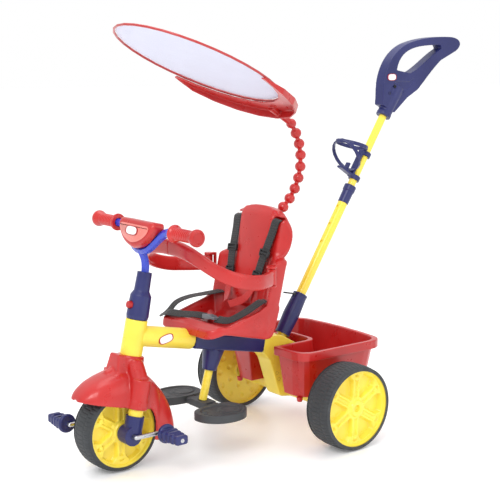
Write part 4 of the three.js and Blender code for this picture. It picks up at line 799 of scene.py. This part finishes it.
# ------------------------------------------------------------------ pedals
def pedal(side_name, side):
    place = LEVEL @ Matrix.Translation((0, side * CRANK_LEN, 0)) @ Matrix.Diagonal((side, 1, 1, 1))
    flange = revolve("flange", [(0, 90), (17, 90), (20, 91.5), (21, 94), (21, 98), (19.5, 100.6),
                                (16, 101.6), (0, 101.6)],
                     place, 48, "X")
    rings = []
    for x, lift in ((98, 0), (105, 0), (106, 1.3), (112, 1.3), (113, -1), (118, -1), (119, 1), (126, 1),
                    (127, -1),
                    (132, -1), (133, 0.8), (140, 0.8), (141, -1), (146, -1), (147, 0.5), (154, 0.5),
                    (156, -1.4)):
        k = (x - 98) / 58
        w, t = 18.5 - 4.5 * k + lift, 11 - 2.0 * k + lift
        rings.append([(x, u, v) for u, v in rounded([(-w, -t), (w, -t), (w, t), (-w, t)], 5, 5)])
    body = loft("body", rings, place)
    slots = [prism("slot", rounded([(x, -9), (x + 9, -9), (x + 9, 9), (x, 9)], 2), z, z + 4, "Z", place)
             for x in (113, 130) for z in (7, -11)]
    cut(body, *slots)
    obj = joined("pedal_" + side_name + "_ribbed", flange, body)
    melted(obj, 0.9, 2)
    dress(obj, "pedal_" + side_name, "navy_plastic", NAVY, "pedal_" + side_name, sharp=0)
    cap = revolve("cap", [(0, 153), (4.6, 153), (4.6, 156), (3.6, 156.8), (1.4, 156.4), (0, 155.6)], place,
                  24, "X")
    dress(cap, "pedal_" + side_name, "steel", STEEL, sharp=30)
    cap.name = "pedal_screw_" + side_name


pedal("left", 1)
pedal("right", -1)


# ------------------------------------------------------------------ folding footrests
def pad_top(x, y):
    e = math.hypot((x - PAD_MID_X) / 45, (y - PAD_MID_Y + 12) / 61)
    z = 9 - 3.4 * (1 - float(step(0.80, 0.86, e)))
    sole = math.hypot((x - PAD_MID_X - 1) / 25, (y - PAD_MID_Y - 10) / 27)
    z += 2.4 * (1 - float(step(0.92, 1.02, sole))) - 1.2 * (1 - float(step(0.66, 0.76, sole)))
    for k in range(5):
        turn = math.radians(-128 + 26 * k)
        tx, ty = PAD_MID_X + 2 + 31 * math.cos(turn), PAD_MID_Y - 20 + 34 * math.sin(turn)
        z += 2.6 * (1 - float(step(4.6, 6.4, math.hypot(x - tx, y - ty))))
    comb = 1 - float(step(0.76, 0.8, e))
    band = float(step(1.1, 1.16, sole)) * (1 - float(step(PAD_MID_Y - 30, PAD_MID_Y - 26,
                                                          -y + 2 * PAD_MID_Y - 56)))
    return z + 1.1 * comb * band * max(0.0, math.sin(x * 0.9)) ** 0.5


def footrest(side_name, side):
    y0, y1 = PAD_MID_Y - 72, PAD_MID_Y + 48
    outline = bezier((46, y1 - 30), ((42, PAD_MID_Y - 20), (46, y0 + 4), (74, y0)),
                     ((106, y0 - 2), (132, y0 + 24), (134, PAD_MID_Y - 14)),
                     ((136, PAD_MID_Y + 20), (118, y1), (88, y1)),
                     ((66, y1), (50, y1 - 6), (46, y1 - 30)), steps=22)
    place = frame_at(0, PAD_Z) @ Matrix.Diagonal((side, 1, 1, 1))
    rings = []
    count = 44
    for face, order in ((pad_top, range(1, count + 1)), (lambda x, y: -8.6, range(count, 0, -4))):
        for i in order:
            k = i / count
            ring = []
            for x, y in outline:
                px = PAD_MID_X + (x - PAD_MID_X) * k
                mid = min(max(y, PAD_MID_Y - 28), PAD_MID_Y + 6)
                py = mid + (y - mid) * k
                ring.append((px, py, face(px, py)))
            rings.append(ring)
            if i == count and face is pad_top:
                rings.append([(x, y, 6.5) for x, y in outline])
                rings.append([(x, y, -6.5) for x, y in outline])
    pad = loft("pad", rings, place)
    root = clipped(cad_copy("root", "footrest_" + side_name), ORIGIN + Vector((side * 0.054, 0, 0)),
                   (side, 0, 0))
    obj = joined("footrest_" + side_name + "_tread", pad, root)
    melted(obj, 0.9, 1)
    dress(obj, "footrest_" + side_name, "grey_plastic", GREY, "footrest_" + side_name, sharp=0)


footrest("left", 1)
footrest("right", -1)


# ------------------------------------------------------------------ push handle
def push_handle():
    outline = bezier((771, 762), ((773, 812),), ((780, 862), (812, 895), (852, 910)),
                     ((900, 926), (960, 930), (1008, 929)),
                     ((1050, 928), (1058, 908), (1030, 893)), ((976, 870),),
                     ((940, 844), (912, 813), (893, 797)),
                     ((857, 778),), ((812, 742),), steps=14)
    opening = bezier((818, 846), ((866, 838),), ((905, 852), (935, 880), (978, 900)), ((972, 909),),
                     ((900, 906), (830, 906), (818, 846)), steps=14)
    body = prism("push_handle_moulding", outline, -HANDLE_HALF, HANDLE_HALF, "X")
    hole = prism("hole", opening, -20, 20, "X")
    trough = bezier((796, 800), ((818, 820),), ((862, 818),), ((892, 834), (880, 820), (868, 806)),
                    ((846, 790),),
                    ((806, 776),), steps=8)
    sinks = [prism("sink", rounded(trough, 6), x, x + 6, "X") for x in (-18.6, 12.4)]
    cut(body, hole, *sinks)
    socket = [rod("socket", (0, 0, 612), (0, 0, 690), 17.5, POLE, 20),
              rod("socket", (0, 0, 606), (0, 0, 616), 18.6, POLE)]
    obj = joined("push_handle_moulding", body, *socket)
    melted(obj, 1.2, 7)
    dress(obj, "push_bar", "navy_plastic", NAVY, "push_handle", sharp=0)
    badge("handle_badge", frame_at(800, 829, 0, HANDLE_HALF + 0.3) @ Matrix.Rotation(math.radians(90), 4,
                                                                                     "Z"), 15, 8.5,
                                                                                     "push_bar")
    for i, (y, z) in enumerate(((793, 790), (812, 806), (806, 762))):
        screw("handle_screw_%d" % i, frame_at(y, z, 0, HANDLE_HALF + 0.3), 3.4, "push_bar", "navy_plastic")


def screw(name, place, radius, body, slot):
    """A sunken screw head facing +X, coloured with painted shadow of its hole: a rim with a cross cut into
    its floor.
    """
    cup = revolve(name, [(0, -1.2), (radius * 0.7, -1.2), (radius * 0.8, 0.2), (radius, 0.6), (radius, -2),
                         (0, -2)],
                  place, 24, "X")
    bars = [prism("bar", rounded(shape, 0.3), -1.2, -0.5, "X", place)
            for shape in ([(-radius * 0.6, -0.5), (radius * 0.6, -0.5), (radius * 0.6, 0.5),
                           (-radius * 0.6, 0.5)],
                          [(-0.5, -radius * 0.6), (0.5, -radius * 0.6), (0.5, radius * 0.6),
                           (-0.5, radius * 0.6)])]
    dress(joined(name, cup, *bars), body, slot, HOLE_SHADOW_PAINT, sharp=35)


push_handle()
for i, (y, z) in enumerate(((429, 143), (435, 128))):
    screw("frame_screw_%d" % i, frame_at(y, z, 0, 23.6), 4.2, "frame", "yellow_plastic")

# ------------------------------------------------------------------ small trim
badge("tube_badge", frame_at(117, tube_z(117), 0, 23.0) @ Matrix.Rotation(math.radians(90), 4, "Z")
      @ Matrix.Rotation(math.radians(-TUBE_DROP), 4, "Y"), 19, 9.5, "frame")
for i in range(12):
    a = 2 * math.pi * i / 12
    flute = rod("sleeve_flute_%d" % i, (18.4 * math.cos(a), 18.4 * math.sin(a), 62),
                (16.2 * math.cos(a), 16.2 * math.sin(a), 106), 1.6, POLE, 1.3, 12)
    dress(flute, "frame", "navy_plastic", NAVY, sharp=40)
for z, radius in ((10, 18.4), (111, 17.9)):
    ring = revolve("sleeve_rim_%d" % z, [(radius - 2, z - 2.4), (radius, z - 2), (radius, z + 2),
                                         (radius - 2, z + 2.4)],
                   POLE, 48, closed=True)
    dress(ring, "frame", "navy_plastic", NAVY, sharp=50)
for x in (-112, 112):
    for y in (424, 590):
        foot = revolve("bin_foot_%d_%d" % (x + 200, y), [(0, -9), (5, -9), (6.5, -7), (7.5, 1), (0, 1)],
                       frame_at(y, 105, 0, x), 24)
        dress(foot, "frame", "red_plastic", RED, sharp=40)

# ------------------------------------------------------------------ seat
def into(place, point):
    """A point of a local frame, in the trike's own frame."""
    return Vector(TRIKE.inverted() @ (place @ Vector(point)))


def skin_over(name, outline, front, back, place, spine_low, spine_high, rings=26, edge=4):
    """A closed shell drawn over an outline in XZ, with front(x, z) and back(x, z) giving its two faces."""
    layers = []
    for face, order in ((front, range(1, rings + 1)), (back, range(rings, 0, -1))):
        for i in order:
            k = i / rings
            ring = []
            for x, z in outline:
                centre = min(max(z, spine_low), spine_high)
                px, pz = x * k, centre + (z - centre) * k
                ring.append((px, face(px, pz), pz))
            layers.append(ring)
            if i == rings and face is front:
                for j in range(1, edge):
                    t = j / edge
                    bulge = 1 + 0.018 * math.sin(math.pi * t)
                    layers.append([(x * bulge, front(x, z) * (1 - t) + back(x, z) * t, z) for x,
                                   z in outline])
    return loft(name, layers, place)


def panel_half(z):
    """Half width of the raised middle panel of the seat back."""
    return 44 + 15 * step(60, 235, z)


def back_front(x, z):
    panel = 1 - step(panel_half(z) - 3, panel_half(z) + 3, abs(x))
    crown = 3.5 * (1 - min(1, (x / 60) ** 2))
    head = step(120, 150, z)
    roll = 26 * head * step(80, 108, abs(x)) + 12 * step(225, 256, z)
    ears = -14 * (1 - head) * step(66, 100, abs(x))
    return 1.5 - panel * (6 + crown) + roll + ears


def back_rear(x, z):
    head = step(120, 150, z)
    return 22 + 10 * head * step(80, 108, abs(x)) + 6 * step(225, 256, z)


def pan_top(x, y):
    dish = 6 * math.exp(-((x / 62) ** 2)) * float(step(20, 70, y))
    nose = 13 * (1 - float(step(-4, 26, y)))
    wing = float(step(82, 97, abs(x))) * 52 * float(step(34, 128, y))
    horn = 8 * math.exp(-((x / 16) ** 2) - ((y - 66) / 30) ** 2)
    return 21 - dish - nose + wing + horn


def pan_bottom(x, y):
    return -12 + 12 * float(step(4, 40, y)) + 4 * float(step(70, 100, abs(x)))


def seat():
    half = bezier((0, BACK_LEN), ((52, BACK_LEN), (99, 232), (100, 184)), ((100, 158), (94, 146), (90, 140)),
                  ((94, 136), (105, 136), (105, 122)), ((105, 60), (104, 30), (100, -34)), steps=14)
    outline = half + [(-x, z) for x, z in reversed(half) if x > 0]
    back = skin_over("seat_back", outline, back_front, back_rear, BACK, 60, 170)
    long = (SEAT_REAR - SEAT_FRONT) / math.cos(math.radians(TUBE_DROP))
    edge = rounded([(-92, 0), (92, 0), (104, 30), (104, long), (-104, long), (-104, 30)], 30, 8)
    lie = PAN @ Matrix(((1, 0, 0, 0), (0, 0, 1, 0), (0, 1, 0, 0), (0, 0, 0, 1)))
    pan = skin_over("seat_pan", edge, pan_top, pan_bottom, lie, 60, 110, rings=34)
    wing = [(40, 4), (long, 0), (long + 8, 84), (long - 30, 80), (long - 62, 52), (70, 30)]
    wings = [prism("wing", rounded(wing, 22), x, x + 10, "X", PAN) for x in (-104, 94)]
    rail = prism("rail", rounded([(-18, -4.3), (18, -4.3), (18, 4), (-18, 4)], 3), 28, long + 10, "Y", PAN)
    obj = joined("seat_shell", back, pan, *wings, rail)
    slots = [prism("slot", rounded([(x - 13, 219), (x + 13, 219), (x + 13, 228), (x - 13, 228)], 4), -14, 16,
                   "Y", BACK)
             for x in (-71, 71)]
    melted(obj, SEAT_VOXEL, 0)
    cut(obj, *slots)
    melted(obj, SEAT_VOXEL, 7)
    dress(obj, "frame", "red_plastic", RED, "seat", sharp=0)


seat()


# ------------------------------------------------------------------ harness
def webbing(name, points, width, up, slot, material, *nodes):
    """A flat strap with rolled selvedges, laid along a smooth path; up is the way that its face looks."""
    section = oval(width / 2, STRAP_THICK / 2, 5, 28)
    obj = sweep(name, smooth_path(points, 10), section, up)
    return dress(obj, "frame", slot, material, *nodes, sharp=50)


def slider(name, place, point, turn=0.0, width=32, tall=17):
    """A moulded strap adjuster: a frame with a middle bar."""
    hole = lambda z: rounded([(-width / 2 + 4, z), (width / 2 - 4, z), (width / 2 - 4, z + 3.5),
                              (-width / 2 + 4, z + 3.5)], 1.4)
    here = place @ Matrix.Translation(Vector(point)) @ Matrix.Rotation(math.radians(turn), 4, "Y")
    w, t = width / 2, tall / 2
    body = prism(name, rounded([(-w, -t), (w, -t), (w, t), (-w, t)], 3.5), -3, 3, "Y", here)
    cut(body, *[prism("hole", hole(z), -6, 6, "Y", here) for z in (-5.5, 2.0)])
    return dress(body, "frame", "buckle_plastic", BLACK, sharp=40, bevel=0.7)


def harness():
    for side_name, side in (("left", 1), ("right", -1)):
        path = [(71, 4, 223), (70, -3.5, 216), (66, -5, 190), (60, -9, 150), (55, -12, 118), (49, -12, 84)]
        on_back = [into(BACK, (side * x, y, z)) for x, y, z in path]
        webbing("shoulder_strap_" + side_name + "_web", on_back, 25, (0, -1, 0.2), "webbing", WEBBING,
                "shoulder_strap_" + side_name)
        lower = [(49, -12, 88), (44, -15, 62), (34, -22, 36), (20, -34, 22), (12, -48, 14)]
        webbing("lower_strap_" + side_name + "_web", [into(BACK, (side * x, y, z)) for x, y, z in lower], 20,
                (0, -1, 0.3), "red_webbing", RED_WEBBING)
        slider("shoulder_slider_" + side_name, BACK, (side * 59, -10.5, 142), side * 6)
        slider("shoulder_adjuster_" + side_name, BACK, (side * 50, -14, 92), side * 8, 28, 14)
    right = [(-76, 150, 84), (-90, 112, 72), (-99, 72, 60), (-106, 44, 44), (-110, 28, 20), (-103, 12, 14),
             (-84, 8, 22), (-50, 18, 25), (-14, 38, 30), (6, 50, 30)]
    left = [(78, 158, 88), (90, 132, 84), (88, 92, 56), (74, 66, 35), (58, 58, 31), (38, 55, 30)]
    webbing("waist_strap_right_web", [into(PAN, p) for p in right], 23, (0, -0.5, 1), "webbing", WEBBING,
            "waist_strap_right")
    webbing("waist_strap_left_web", [into(PAN, p) for p in left], 23, (0.2, -0.5, 1), "webbing", WEBBING,
            "waist_strap_left")
    crotch = [(0, 76, 22), (2, 68, 34), (9, 60, 36), (18, 56, 33)]
    webbing("crotch_strap_web", [into(PAN, p) for p in crotch], 20, (1, 0, 0.4), "red_webbing", RED_WEBBING,
            "crotch_strap")
    here = PAN @ Matrix.Translation(Vector((22, 52, 31))) @ Matrix.Rotation(math.radians(10), 4, "Z")
    body = prism("buckle_body", rounded([(-17, -14), (6, -14), (6, 14), (-17, 14)], 4), -5, 5, "Z", here)
    prong = [prism("prong", rounded([(4, y), (15, y), (18, y + 2), (15, y + 5), (4, y + 5)], 1), -3, 3, "Z",
                   here)
             for y in (-13, 8)]
    tongue = prism("tongue", rounded([(12, -10), (20, -13), (20, 13), (12, 10)], 2), -3.4, 3.4, "Z", here)
    press = prism("press", rounded([(-10, -8), (2, -8), (2, 8), (-10, 8)], 3), 4, 6.4, "Z", here)
    buckle = joined("harness_buckle_body", body, *prong, tongue, press)
    melted(buckle, 0.7, 3)
    dress(buckle, "frame", "buckle_plastic", BUCKLE, "harness_buckle", sharp=0)


harness()


# ------------------------------------------------------------------ safety ring
def ring_arm(side_name, side):
    path = [(126, 336, 415), (142, 312, 414), (157, 280, 415), (160, 250, 418), (159, 220, 425),
            (152, 192, 435),
            (138, 170, 447), (120, 154, 460), (98, 145, 471), (74, 141, 479), (48, 140, 484), (24, 140, 486),
            (0.6, 140, 486)]
    place = frame_at(0, 0) @ Matrix.Diagonal((side, 1, 1, 1))
    section = [(6 + u, -RING_H / 2 + v) for u, v in oval(7.0, RING_H / 2, 3.6, 36)]
    band = sweep("band", smooth_path(path, 8), section, (0, 0, 1), place, upright=True)
    root = clipped(cad_copy("root", "ring_arm_" + side_name), TRIKE @ Vector((0, 312, 0)), (0, -1, 0))
    obj = joined("ring_arm_" + side_name + "_band", band, root)
    melted(obj, 1.2, 6)
    dress(obj, "ring_arm_" + side_name, "red_plastic", RED, "ring_arm_" + side_name, sharp=0)


ring_arm("left", 1)
ring_arm("right", -1)

# ------------------------------------------------------------------ canopy cloth
CLOTH_HALF, CLOTH_LONG = CANOPY_HALF - 4, CANOPY_LONG - 4


def on_cloth(u, v):
    """A point of the canopy cloth: u, v in the unit disc."""
    return (u * CLOTH_HALF, v * CLOTH_LONG, 2.0)


def canopy_cloth():
    rings, sides = 34, 120
    verts, faces = [on_cloth(0, 0)], []
    for i in range(1, rings + 1):
        for j in range(sides):
            a = 2 * math.pi * j / sides
            verts.append(on_cloth(i / rings * math.cos(a), i / rings * math.sin(a)))
    for j in range(sides):
        faces.append((0, 1 + j, 1 + (j + 1) % sides))
    for i in range(rings - 1):
        for j in range(sides):
            a, b = 1 + i * sides + j, 1 + i * sides + (j + 1) % sides
            faces.append((a, a + sides, b + sides, b))
    obj = raw("canopy_cloth", verts, faces, CANOPY)
    dress(obj, "canopy", "canopy_fabric", CLOTH, "canopy_fabric", sharp=0)


canopy_cloth()

# ------------------------------------------------------------------ floor, light and world
FLOOR_Z = ORIGIN.z + (REAR_R - REAR_R * FLAT) * MM


def studio():
    mesh = bpy.data.meshes.new("floor")
    size = 30.0
    mesh.from_pydata([(-size, -size, FLOOR_Z), (size, -size, FLOOR_Z), (size, size, FLOOR_Z),
                      (-size, size, FLOOR_Z)], [], [(0, 1, 2, 3)])
    floor = placed("floor", mesh)
    mat = bpy.data.materials.new("floor")
    mat.use_nodes = True
    principled = mat.node_tree.nodes["Principled BSDF"]
    plain(principled, Base_Color=(0.96, 0.96, 0.96, 1), Roughness=0.3, Emission_Color=(1, 1, 1, 1),
          Emission_Strength=0.12)
    mesh.materials.append(mat)
    world = bpy.data.worlds.new("world")
    world.use_nodes = True
    world.node_tree.nodes["Background"].inputs["Color"].default_value = (1, 1, 1, 1)
    world.node_tree.nodes["Background"].inputs["Strength"].default_value = 1.0
    bpy.context.scene.world = world
    for name, place, power, size in (("key", (1.6, -2.4, 2.6), 50, 1.6), ("fill", (2.8, 0.9, 1.4), 10, 1.8),
                                     ("top", (-0.4, 0.2, 3.0), 30, 2.2)):
        light = bpy.data.lights.new(name, "AREA")
        light.energy = power
        light.size = size
        obj = placed(name, light)
        obj.location = place
        obj.rotation_mode = "QUATERNION"
        obj.rotation_quaternion = (Vector((0, 0, 0.4)) - Vector(place)).to_track_quat("-Z", "Y")


studio()
